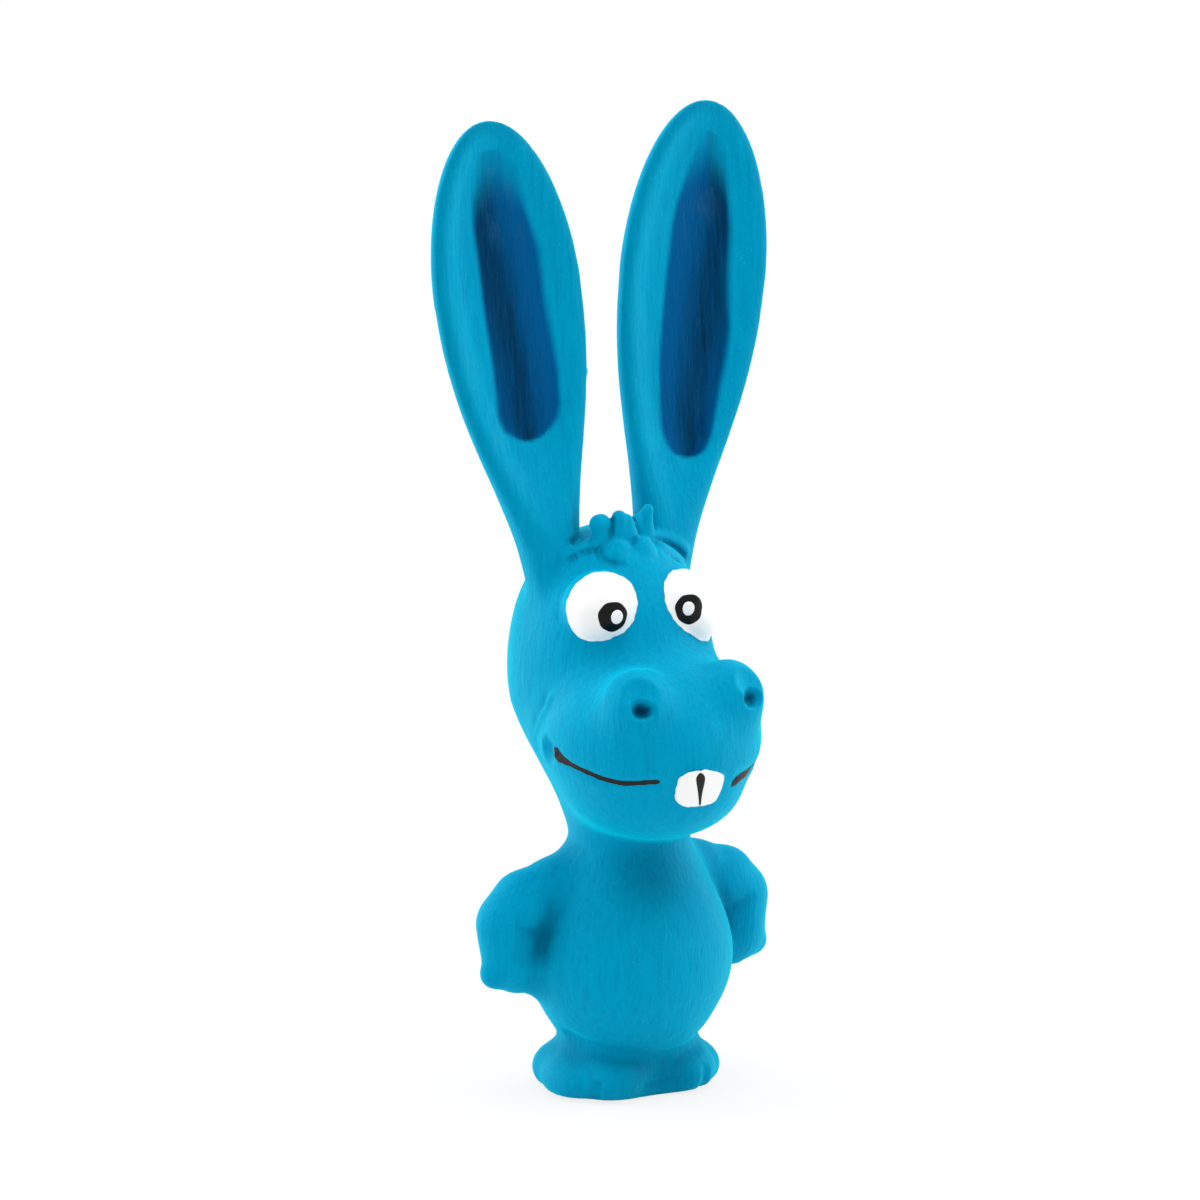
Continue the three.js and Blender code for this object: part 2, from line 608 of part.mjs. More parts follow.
// The block's face stands on the axis, with the channel cut into it down through the foot.
function reedSeat() {
  const { channelWidth, channelDepth, footThickness } = reedBlock;
  const channelBottom = blockBottom - overrun;
  const channel = box(channelWidth, channelDepth, channelTop - channelBottom, channelDepth / 2, channelBottom);
  return disc(coreRadius, blockBottom, blockBottom + footThickness)
    .add(halfCore(blockBottom, blockTop, 0, 1))
    .subtract(channel);
}

const reedMiddle = -clearance - reed.thickness / 2;
const clampFace = reedMiddle - reed.thickness / 2 - clearance;
function reedStrip() {
  const tip = blockBottom + reedBlock.footThickness + reed.tipGap;
  return box(reed.width, reed.thickness, blockTop - tip, reedMiddle, tip);
}

// One material for each finish.
const finish = (color, roughness, metalness = 0) =>
  new THREE.MeshStandardMaterial({ color: new THREE.Color(...color), roughness, metalness });
const blueLatex = finish([0.001, 0.29, 0.52], 0.62);
const darkBlueLatex = finish([0.002, 0.045, 0.16], 0.4);
const whiteLatex = finish([0.88, 0.88, 0.87], 0.4);
const blackLatex = finish([0.008, 0.008, 0.008], 0.3);
const whitePlastic = finish([0.8, 0.8, 0.78], 0.35);
const brass = finish([0.72, 0.52, 0.22], 0.3, 1);

const toy = new THREE.Group();
function piece(name, body, material) {
  const mesh = new THREE.Mesh(geometryOf(body), material);
  mesh.name = name;
  toy.add(mesh);
}
function pair(name, body, material) {
  piece(`${name}_left`, body, material);
  piece(`${name}_right`, mirrorX(body), material);
}

piece("latex_skin", latexSkin(), blueLatex);
pair("eye_white", eyeFilm(1, eye, eye.spread, grids.eyeWhite, 0), whiteLatex);
for (const [hand, side] of [["left", 1], ["right", -1]]) {
  piece(`pupil_${hand}`, eyeFilm(side, pupil, capAngle(pupil.radius), grids.pupil, 1), blackLatex);
  piece(`eye_glint_${hand}`, eyeFilm(side, glint, capAngle(glint.radius), grids.glint, 2), whiteLatex);
}
piece("teeth_paint", teethSheet(teeth.proud + coat(0)), whiteLatex);
piece("tooth_line", toothLineSheet(), blackLatex);
pair("mouth_line", mouthLineSheet(), blackLatex);
piece("ear_lining_left", earLining(leftLining), darkBlueLatex);
piece("ear_lining_right", mirrorX(earLining(rightLining)), darkBlueLatex);
piece("squeaker_barrel", squeakerBarrel(), whitePlastic);
piece("squeaker_cap", squeakerCap(), whitePlastic);
piece("reed_block", reedSeat(), whitePlastic);
piece("reed", reedStrip(), brass);
piece("reed_clamp", halfCore(channelTop, blockTop, clampFace, -1), whitePlastic);

// The origin is under the middle of the toy's box.
const bounds = new THREE.Box3().setFromObject(toy);
toy.position.y = -(bounds.min.y + bounds.max.y) / 2;

export default toy;
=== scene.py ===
"""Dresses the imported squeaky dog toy: a hollow latex donkey with long ears, painted, with a reed squeaker.

The skin is worked as a moulder works it. Rough lumps of clay are joined and remeshed, and their surface is
then pressed onto the mould's exact form. Sizes are in millimetres, and each mesh is scaled to metres when it
is finished. +X is the toy's left, -Y its front and +Z up.
"""

import sys
import logging
import math
from abc import ABC, abstractmethod
from dataclasses import dataclass, field
from enum import Enum
from typing import Callable

import bmesh
import bpy
import numpy as np
from mathutils import Matrix, Vector


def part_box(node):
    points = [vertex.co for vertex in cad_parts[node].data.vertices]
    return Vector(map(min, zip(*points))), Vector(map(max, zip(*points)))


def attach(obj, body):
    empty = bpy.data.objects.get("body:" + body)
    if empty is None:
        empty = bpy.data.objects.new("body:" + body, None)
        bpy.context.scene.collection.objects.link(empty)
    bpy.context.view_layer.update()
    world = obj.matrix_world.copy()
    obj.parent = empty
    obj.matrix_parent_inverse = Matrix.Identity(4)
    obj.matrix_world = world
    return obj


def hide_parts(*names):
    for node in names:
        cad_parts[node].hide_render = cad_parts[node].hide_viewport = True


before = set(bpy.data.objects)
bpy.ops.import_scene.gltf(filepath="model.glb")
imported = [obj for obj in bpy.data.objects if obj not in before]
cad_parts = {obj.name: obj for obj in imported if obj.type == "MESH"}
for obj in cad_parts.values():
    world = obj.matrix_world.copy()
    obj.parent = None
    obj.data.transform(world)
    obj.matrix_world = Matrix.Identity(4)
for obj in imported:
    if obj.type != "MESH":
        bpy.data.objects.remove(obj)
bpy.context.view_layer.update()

LOG = logging.getLogger("dog_toy")
MM = 0.001
TOY_BODY = "toy"
REED_BODY = "reed"
# How far back the axis of the trunk and squeaker stands.
FRONT_SHIFT = float(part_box("squeaker_barrel")[0].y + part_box("squeaker_barrel")[1].y) / 2 / MM


class Hand(Enum):
    """The toy's own left or right, by the sign of X."""

    LEFT = 1
    RIGHT = -1

    @property
    def word(self) -> str:
        """The side's word, as it stands in the names of pieces."""
        return self.name.lower()


def spot(side: float, front: float, rise: float) -> np.ndarray:
    """A point from its place to the toy's left, before the upright axis and above the floor."""
    return np.array([side, FRONT_SHIFT - front, rise], float)


def folded(points: np.ndarray) -> np.ndarray:
    """Points with those on the toy's right moved to their mirror places on its left."""
    moved = points.copy()
    moved[:, 0] = np.abs(moved[:, 0])
    return moved


def heading(turn: float, tilt: float) -> np.ndarray:
    """The direction at a turn from the front towards the toy's left and at a tilt upwards, in degrees."""
    a, b = math.radians(turn), math.radians(tilt)
    return np.array([math.cos(b) * math.sin(a), -math.cos(b) * math.cos(a), math.sin(b)])


def ramp(low: float, high: float, value: np.ndarray) -> np.ndarray:
    """A smooth step from 0 at low to 1 at high.

    Args:
        low: Where the step starts.
        high: Where the step ends, above or below low.
        value: What is stepped.

    Returns:
        The step at each value.
    """
    t = np.clip((value - low) / (high - low), 0.0, 1.0)
    return t * t * (3.0 - 2.0 * t)


def ripple(points: np.ndarray, pace: float, seed: int) -> np.ndarray:
    """Smooth unevenness of about -1 to 1 over a surface.

    Args:
        points: Points in millimetres, one to a row.
        pace: How many radians the waves turn in a millimetre.
        seed: Chooses the waves' directions.

    Returns:
        The unevenness at each point.
    """
    rng = np.random.default_rng(seed)
    total = np.zeros(len(points))
    for _ in range(6):
        direction = rng.normal(size=points.shape[1])
        direction *= pace * rng.uniform(0.6, 1.6) / np.linalg.norm(direction)
        total += np.sin(points @ direction + rng.uniform(0.0, 2.0 * math.pi))
    return total / 3.0


def thread(points: np.ndarray, steps: int) -> np.ndarray:
    """A smooth line through a few points.

    Args:
        points: The points, one to a row.
        steps: How many points the line gets.

    Returns:
        Points along the line, evenly spaced in the points' own order.
    """
    ends = np.vstack([2 * points[0] - points[1], points, 2 * points[-1] - points[-2]])
    t = np.linspace(0.0, len(points) - 1 - 1e-9, steps)
    k = t.astype(int)
    f = (t - k)[:, None]
    a, b, c, d = ends[k], ends[k + 1], ends[k + 2], ends[k + 3]
    return 0.5 * (2 * b + (c - a) * f + (2 * a - 5 * b + 4 * c - d) * f**2 + (3 * b - a - 3 * c + d) * f**3)


# Forms of the mould.


class Form(ABC):
    """A solid form of the mould, as a distance: negative inside it and zero on its surface."""

    @abstractmethod
    def distance(self, points: np.ndarray) -> np.ndarray:
        """How far each point is outside the form, in millimetres."""

    def slope(self, points: np.ndarray, step: float = 0.02) -> tuple[np.ndarray, np.ndarray]:
        """The distance and the way it grows.

        Args:
            points: Points in millimetres, one to a row.
            step: How far each point is moved to feel the slope.

        Returns:
            The distance at each point, and the direction outwards there.
        """
        here = self.distance(points)
        out = np.empty_like(points)
        for axis in range(3):
            moved = points.copy()
            moved[:, axis] += step
            out[:, axis] = (self.distance(moved) - here) / step
        return here, out

    def press(self, points: np.ndarray, level: float | np.ndarray = 0.0, rounds: int = 6) -> np.ndarray:
        """Moves points onto the form's surface, by the shortest way.

        Args:
            points: Points in millimetres, one to a row.
            level: How far outside the surface they end.
            rounds: How often each is moved.

        Returns:
            The moved points.
        """
        moved = points.copy()
        for _ in range(rounds):
            here, out = self.slope(moved)
            reach = np.maximum((out**2).sum(1), 0.09)
            step = ((here - level) / reach)[:, None] * out
            length = np.linalg.norm(step, axis=1, keepdims=True)
            moved -= step * np.minimum(1.0, 2.5 / np.maximum(length, 1e-9))
        return moved


@dataclass(frozen=True)
class Egg(Form):
    """An ellipsoid from its centre and its half width, half depth and half height."""

    centre: np.ndarray
    halves: tuple[float, float, float]

    def distance(self, points: np.ndarray) -> np.ndarray:
        """How far each point is outside the egg."""
        q = (points - self.centre) / np.array(self.halves)
        share = np.sqrt((q**2).sum(1))
        steep = np.sqrt(((q / np.array(self.halves)) ** 2).sum(1))
        return np.where(steep > 1e-9, share * (share - 1.0) / np.maximum(steep, 1e-9), -min(self.halves))


@dataclass(frozen=True)
class Rod(Form):
    """A rod with round ends from one ball to another, its radius changing evenly."""

    start: np.ndarray
    start_radius: float
    end: np.ndarray
    end_radius: float

    def distance(self, points: np.ndarray) -> np.ndarray:
        """How far each point is outside the rod."""
        along = self.end - self.start
        p = points - self.start
        share = np.clip(p @ along / max(float(along @ along), 1e-9), 0.0, 1.0)
        away = np.linalg.norm(p - share[:, None] * along, axis=1)
        return away - (self.start_radius + (self.end_radius - self.start_radius) * share)


def ball(centre: np.ndarray, radius: float) -> Rod:
    """A ball, as a rod without length."""
    return Rod(centre, radius, centre, radius)


def bar(start: tuple[float, float, float, float], end: tuple[float, float, float, float]) -> Rod:
    """A rod between two balls, each given as its centre and radius."""
    return Rod(np.array(start[:3]), start[3], np.array(end[:3]), end[3])


@dataclass(frozen=True)
class Mirrored(Form):
    """A form on the toy's left, and the same on its right."""

    form: Form

    def distance(self, points: np.ndarray) -> np.ndarray:
        """How far each point is outside the nearer of the two."""
        return self.form.distance(folded(points))


@dataclass(frozen=True)
class Flipped(Form):
    """A form that was made for the toy's left, on its right."""

    form: Form

    def distance(self, points: np.ndarray) -> np.ndarray:
        """How far each point is outside the flipped form."""
        return self.form.distance(points * np.array([-1.0, 1.0, 1.0]))


@dataclass(frozen=True)
class Flattened(Form):
    """A form that is thinner from front to back, about an upright plane."""

    form: Form
    plane: float
    share: float

    def distance(self, points: np.ndarray) -> np.ndarray:
        """How far each point is outside the flattened form."""
        stretched = points.copy()
        stretched[:, 1] = self.plane + (stretched[:, 1] - self.plane) / self.share
        return self.form.distance(stretched) * self.share


@dataclass(frozen=True)
class Joined(Form):
    """Forms that run together with a fillet."""

    blend: float
    forms: tuple[Form, ...]

    def distance(self, points: np.ndarray) -> np.ndarray:
        """How far each point is outside all of the forms."""
        near = self.forms[0].distance(points)
        for form in self.forms[1:]:
            after = form.distance(points)
            share = np.maximum(self.blend - np.abs(near - after), 0.0) / self.blend
            near = np.minimum(near, after) - share * share * self.blend / 4.0
        return near


@dataclass(frozen=True)
class Near(Form):
    """A form that is only worked out near itself, to save time."""

    form: Form
    low: tuple[float, float, float]
    high: tuple[float, float, float]

    def distance(self, points: np.ndarray) -> np.ndarray:
        """How far each point is outside the form, or at least its room."""
        away = np.maximum(np.array(self.low) - points, points - np.array(self.high)).max(1)
        result = away + 6.0
        close = away < 0.0
        if close.any():
            result[close] = self.form.distance(points[close])
        return result


@dataclass(frozen=True)
class OnFloor(Form):
    """A form that stands on the floor with a flat sole and a rounded edge round it."""

    form: Form
    edge: float

    def distance(self, points: np.ndarray) -> np.ndarray:
        """How far each point is outside the form or under the floor."""
        body, under = self.form.distance(points), -points[:, 2]
        share = np.maximum(self.edge - np.abs(body - under), 0.0) / self.edge
        return np.maximum(body, under) + share * share * self.edge / 4.0


class Mark(ABC):
    """A mark in the mould that presses the skin in, or raises it."""

    @abstractmethod
    def depth(self, points: np.ndarray) -> np.ndarray:
        """How far the mark is pressed in at each point, in millimetres."""


@dataclass(frozen=True)
class Dimple(Mark):
    """A round dent, or a boss where its depth is negative."""

    centre: tuple[float, float, float]
    floor: float
    brim: float
    deep: float

    def depth(self, points: np.ndarray) -> np.ndarray:
        """How far the dent is pressed in at each point."""
        away = np.linalg.norm(points - np.array(self.centre), axis=1)
        return self.deep * ramp(self.brim, self.floor, away)


@dataclass(frozen=True)
class Crease(Mark):
    """A groove along a line, or a raised crest where its depth is negative. It fades at both ends."""

    line: tuple[tuple[float, float, float], ...]
    width: float
    deep: float
    fades: float = 0.18

    def depth(self, points: np.ndarray) -> np.ndarray:
        """How far the groove is pressed in at each point."""
        line = thread(np.array(self.line, float), 6 * len(self.line))
        low, high = line.min(0) - 4 * self.width, line.max(0) + 4 * self.width
        close = ((points > low) & (points < high)).all(1)
        result = np.zeros(len(points))
        if not close.any():
            return result
        p = points[close]
        best = np.full(len(p), 1e9)
        place = np.zeros(len(p))
        for k in range(len(line) - 1):
            along = line[k + 1] - line[k]
            share = np.clip((p - line[k]) @ along / max(float(along @ along), 1e-9), 0.0, 1.0)
            away = np.linalg.norm(p - line[k] - share[:, None] * along, axis=1)
            nearer = away < best
            best = np.where(nearer, away, best)
            place = np.where(nearer, (k + share) / (len(line) - 1), place)
        ends = ramp(0.0, self.fades, place) * ramp(1.0, 1.0 - self.fades, place)
        result[close] = self.deep * ends * np.exp(-((best / self.width) ** 2))
        return result


@dataclass(frozen=True)
class BothSides(Mark):
    """A mark on the toy's left, and the same on its right."""

    mark: Mark

    def depth(self, points: np.ndarray) -> np.ndarray:
        """How far either mark is pressed in at each point."""
        return self.mark.depth(folded(points))


@dataclass(frozen=True)
class Marked(Form):
    """A form with marks in it."""

    form: Form
    marks: tuple[Mark, ...]

    def distance(self, points: np.ndarray) -> np.ndarray:
        """How far each point is outside the marked form."""
        total = self.form.distance(points)
        near = np.abs(total) < 8.0
        if near.any():
            close = points[near]
            total[near] += sum(mark.depth(close) for mark in self.marks)
        return total


@dataclass(frozen=True)
class EarBlade(Form):
    """An ear on the toy's left: a cupped blade along a bowed spine, with a dish inside a rolled rim."""

    root: tuple[float, float, float] = (13.3, -9.0, 113.0)
    reach_side: float = 15.2
    reach_back: float = 5.4
    bow: float = 1.6
    span: float = 109.2
    half_width: float = 18.6
    thickness: float = 8.0
    root_thickness: float = 11.0
    cup: float = 2.0
    dish: float = 2.8
    widest: float = 0.64
    thinned: float = 0.34
    rim: float = 1.4
    wall_ends: float = 9.4
    roundness: float = 2.857
    point: float = 1.9
    widths: tuple[float, ...] = (0.34, 0.4, 0.55, 0.73, 0.88, 0.97, 1.0)
    width_steps: int = 97
    dish_starts: float = 0.03

    def spine(self, share: np.ndarray) -> tuple[np.ndarray, np.ndarray]:
        """The spine's line.

        Args:
            share: How far along the ear, from 0 at its root to 1 at its tip.

        Returns:
            The spine's points, and its directions there.
        """
        rise = math.sqrt(self.span**2 - self.reach_side**2 - self.reach_back**2)
        a = spot(*self.root)
        c = a + np.array([self.reach_side, self.reach_back, rise])
        b = (a + c) / 2 + np.array([self.bow, 0.0, 0.0])
        t = np.clip(share, 0.0, 1.0)[:, None]
        tangent = 2 * (1 - t) * (b - a) + 2 * t * (c - b)
        tangent /= np.linalg.norm(tangent, axis=1, keepdims=True)
        point = (1 - t) ** 2 * a + 2 * t * (1 - t) * b + t**2 * c
        return point + tangent * (share[:, None] - t) * self.span, tangent

    def across(self, tangent: np.ndarray) -> tuple[np.ndarray, np.ndarray]:
        """The directions across the blade, to its side and out of its back."""
        side = np.array([1.0, 0.0, 0.0]) - tangent * tangent[:, :1]
        side /= np.linalg.norm(side, axis=1, keepdims=True)
        return side, np.cross(tangent, side)

    def flare(self, share: np.ndarray) -> np.ndarray:
        """The ear's half width before its tip closes."""
        table = thread(np.array(self.widths)[:, None], self.width_steps)[:, 0]
        places = np.linspace(0.0, 1.0, self.width_steps)
        return self.half_width * np.interp(share / self.widest, places, table)

    def half_thickness(self, share: np.ndarray) -> np.ndarray:
        """Half the blade's thickness, which thins out from the root."""
        thinner = (self.thickness - self.root_thickness) * ramp(0.0, self.thinned, share)
        return 0.5 * (self.root_thickness + thinner)

    def closing(self, share: np.ndarray) -> np.ndarray:
        """How far the ear is still open: 1 up to where it is widest, and 0 at its tip."""
        past = np.maximum(0.0, share - self.widest) / (1 - self.widest)
        return np.sqrt(np.maximum(0.0, 1 - past**self.point))

    def place(self, share: np.ndarray, side: np.ndarray, lift: np.ndarray | float) -> np.ndarray:
        """Points in the ear's own frame.

        Args:
            share: How far along the ear.
            side: Millimetres from the spine, towards the toy's side.
            lift: Millimetres out of the blade's back.

        Returns:
            The points.
        """
        point, tangent = self.spine(share)
        sideways, back = self.across(tangent)
        return point + sideways * side[:, None] + back * np.broadcast_to(lift, share.shape)[:, None]

    def distance(self, points: np.ndarray) -> np.ndarray:
        """How far each point is outside the ear."""
        share = (points[:, 2] - self.root[2]) / self.span
        for _ in range(3):
            point, tangent = self.spine(share)
            share = share + ((points - point) * tangent).sum(1) / self.span
        point, tangent = self.spine(share)
        sideways, back = self.across(tangent)
        side = ((points - point) * sideways).sum(1)
        lift = ((points - point) * back).sum(1)
        width = self.flare(share)
        past = np.maximum(0.0, share - self.widest) / (1 - self.widest)
        closing = self.closing(share)
        a = np.minimum(1.0, np.abs(side) / (width * np.maximum(closing, 0.05)))
        lift = lift - self.cup * ramp(0.0, self.widest, share) * closing * (1 - a**2)
        half = self.half_thickness(share)
        outline = np.sqrt((side / width) ** 2 + past**self.point)
        u = np.abs(lift) / half
        k2 = outline**2 + u**self.roundness
        flat = np.sqrt((side / width**2) ** 2 + (past / ((1 - self.widest) * self.span)) ** 2)
        steep = np.sqrt(flat**2 + (0.5 * self.roundness * u ** (self.roundness - 1) / half) ** 2)
        k = np.sqrt(k2)
        body = (k - 1.0) * k / np.maximum(steep, 1e-4)
        face = half * np.maximum(0.0, 1.0 - outline**2) ** (1 / self.roundness)
        body = np.where(k < 1.0, np.maximum(body, np.abs(lift) - face), body)
        inwards = (1.0 - outline) * outline / np.maximum(flat, 1e-4)
        inwards = np.where(outline > 0.1, inwards, width)
        wall = ramp(self.rim, self.wall_ends, inwards) * ramp(self.dish_starts, self.thinned, share)
        return body + self.dish * wall * ramp(0.0, -0.3, lift / half)


# Clay: the meshes that are pressed onto the forms.


@dataclass
class Clay:
    """Rough lumps that are joined, remeshed and pressed into a mould."""

    bm: bmesh.types.BMesh = field(default_factory=bmesh.new)

    def egg(self, centre: np.ndarray, halves: tuple[float, float, float], detail: int = 3) -> None:
        """Adds an egg-shaped lump.

        Args:
            centre: Its centre.
            halves: Its half width, half depth and half height.
            detail: How often its faces are split.
        """
        matrix = Matrix.Translation(Vector(centre)) @ Matrix.Diagonal(Vector((*halves, 1.0)))
        bmesh.ops.create_icosphere(self.bm, subdivisions=detail, radius=1.0, matrix=matrix)

    def rod(self, start: np.ndarray, start_radius: float, end: np.ndarray, end_radius: float) -> None:
        """Adds a rod with a ball at each end.

        Args:
            start: The first ball's centre.
            start_radius: Its radius.
            end: The last ball's centre.
            end_radius: Its radius.
        """
        for centre, radius in ((start, start_radius), (end, end_radius)):
            self.egg(centre, (radius, radius, radius), 2)
        along = Vector(end) - Vector(start)
        turn = along.to_track_quat("Z", "Y").to_matrix().to_4x4()
        matrix = Matrix.Translation((Vector(start) + Vector(end)) / 2) @ turn
        bmesh.ops.create_cone(
            self.bm, cap_ends=True, segments=20, radius1=start_radius, radius2=end_radius,
            depth=along.length, matrix=matrix,
        )

    def remesh(self, voxel: float) -> None:
        """Makes one even skin of all the lumps.

        Args:
            voxel: The size of its faces.
        """
        obj = as_object("clay", self.bm, 1.0)
        modifier = obj.modifiers.new("even", "REMESH")
        modifier.mode = "VOXEL"
        modifier.voxel_size = voxel
        modifier.use_smooth_shade = True
        self.bm = taken_back(obj)

    def refine(self, balls: tuple[tuple[float, float, float, float], ...]) -> None:
        """Splits the faces inside a few balls, for the fine marks there.

        Args:
            balls: The balls, each as its centre and radius.
        """
        points = self.points()
        inside = np.zeros(len(points), bool)
        for x, y, z, radius in balls:
            inside |= np.linalg.norm(points - np.array((x, y, z)), axis=1) < radius
        chosen = {vert for vert, near in zip(self.bm.verts, inside) if near}
        edges = [edge for edge in self.bm.edges if edge.verts[0] in chosen and edge.verts[1] in chosen]
        bmesh.ops.subdivide_edges(self.bm, edges=edges, cuts=1, use_grid_fill=True)

    def press(self, form: Form, rounds: int = 5, relax: int = 2) -> None:
        """Presses the clay onto a form, and evens its faces out along the surface.

        Args:
            form: The mould's form.
            rounds: How often each point is moved.
            relax: How often the faces are evened out.
        """
        self.set_points(form.press(self.points(), rounds=rounds))
        for _ in range(relax):
            bmesh.ops.smooth_vert(
                self.bm, verts=self.bm.verts[:], factor=0.5, use_axis_x=True, use_axis_y=True, use_axis_z=True
            )
            self.set_points(form.press(self.points(), rounds=2))

    def points(self) -> np.ndarray:
        """The clay's points, one to a row."""
        return np.array([v.co[:] for v in self.bm.verts], float)

    def set_points(self, points: np.ndarray) -> None:
        """Moves every point of the clay to its row's place."""
        for vert, p in zip(self.bm.verts, points):
            vert.co = p


def as_object(
    name: str, bm: bmesh.types.BMesh, scale: float = MM, angle: float | None = None
) -> bpy.types.Object:
    """Makes an object of a bmesh, and frees the bmesh.

    Args:
        name: The object's name.
        bm: Its mesh.
        scale: What its points are multiplied by.
        angle: Edges sharper than this many degrees stay sharp. None leaves all of them smooth.

    Returns:
        The object, linked to the scene, at the origin.
    """
    mesh = bpy.data.meshes.new(name)
    bmesh.ops.scale(bm, vec=Vector((scale, scale, scale)), verts=bm.verts[:])
    bm.to_mesh(mesh)
    bm.free()
    mesh.shade_smooth()
    if angle is not None:
        mesh.set_sharp_from_angle(angle=math.radians(angle))
    obj = bpy.data.objects.new(name, mesh)
    bpy.context.scene.collection.objects.link(obj)
    return obj


def taken_back(obj: bpy.types.Object) -> bmesh.types.BMesh:
    """Takes an object's mesh back with its modifiers applied.

    Args:
        obj: The object, which is deleted.

    Returns:
        Its mesh.
    """
    bpy.context.view_layer.update()
    bm = bmesh.new()
    evaluated = obj.evaluated_get(bpy.context.evaluated_depsgraph_get())
    bm.from_mesh(evaluated.to_mesh())
    evaluated.to_mesh_clear()
    mesh = obj.data
    bpy.data.objects.remove(obj)
    bpy.data.meshes.remove(mesh)
    return bm


def turned(outline: list[tuple[float, float]], steps: int = 64) -> bmesh.types.BMesh:
    """Spins an outline round the upright axis.

    Args:
        outline: Radii and heights, in order round a closed outline that doesn't touch the axis.
        steps: How many faces go round.

    Returns:
        The spun mesh.
    """
    bm = bmesh.new()
    verts = [bm.verts.new((radius, FRONT_SHIFT, height)) for radius, height in outline]
    edges = [bm.edges.new((a, b)) for a, b in zip(verts, verts[1:] + verts[:1])]
    bmesh.ops.spin(
        bm, geom=verts + edges, cent=Vector((0.0, FRONT_SHIFT, 0.0)), axis=Vector((0.0, 0.0, 1.0)),
        angle=2 * math.pi, steps=steps, use_merge=True, use_duplicate=False,
    )
    bmesh.ops.remove_doubles(bm, verts=bm.verts[:], dist=1e-4)
    bmesh.ops.recalc_face_normals(bm, faces=bm.faces[:])
    return bm


def give_number(obj: bpy.types.Object, name: str, values: np.ndarray) -> None:
    """Stores one number to each point of a mesh, for its material to read.

    Args:
        obj: The object.
        name: The attribute's name.
        values: The numbers.
    """
    attribute = obj.data.attributes.new(name, "FLOAT", "POINT")
    attribute.data.foreach_set("value", values.astype(np.float32))


# Finishes.


def fill_socket(tree: bpy.types.NodeTree, socket: bpy.types.NodeSocket, value: object) -> None:
    """Sets a socket, or links it where the value is another node's output."""
    if isinstance(value, bpy.types.NodeSocket):
        tree.links.new(value, socket)
    else:
        socket.default_value = value


def add_node(
    tree: bpy.types.NodeTree, kind: str, inputs: dict[str | int, object] | None = None, **settings: object
) -> bpy.types.Node:
    """Adds a node to a material or world.

    Args:
        tree: The node tree.
        kind: The node's type, without the words that all types start with.
        inputs: Values for its sockets, or other nodes' outputs that are linked to them.
        settings: Its other settings.

    Returns:
        The node.
    """
    node = tree.nodes.new(f"ShaderNode{kind}")
    for name, value in settings.items():
        setattr(node, name, value)
    for name, value in (inputs or {}).items():
        fill_socket(tree, node.inputs[name], value)
    return node


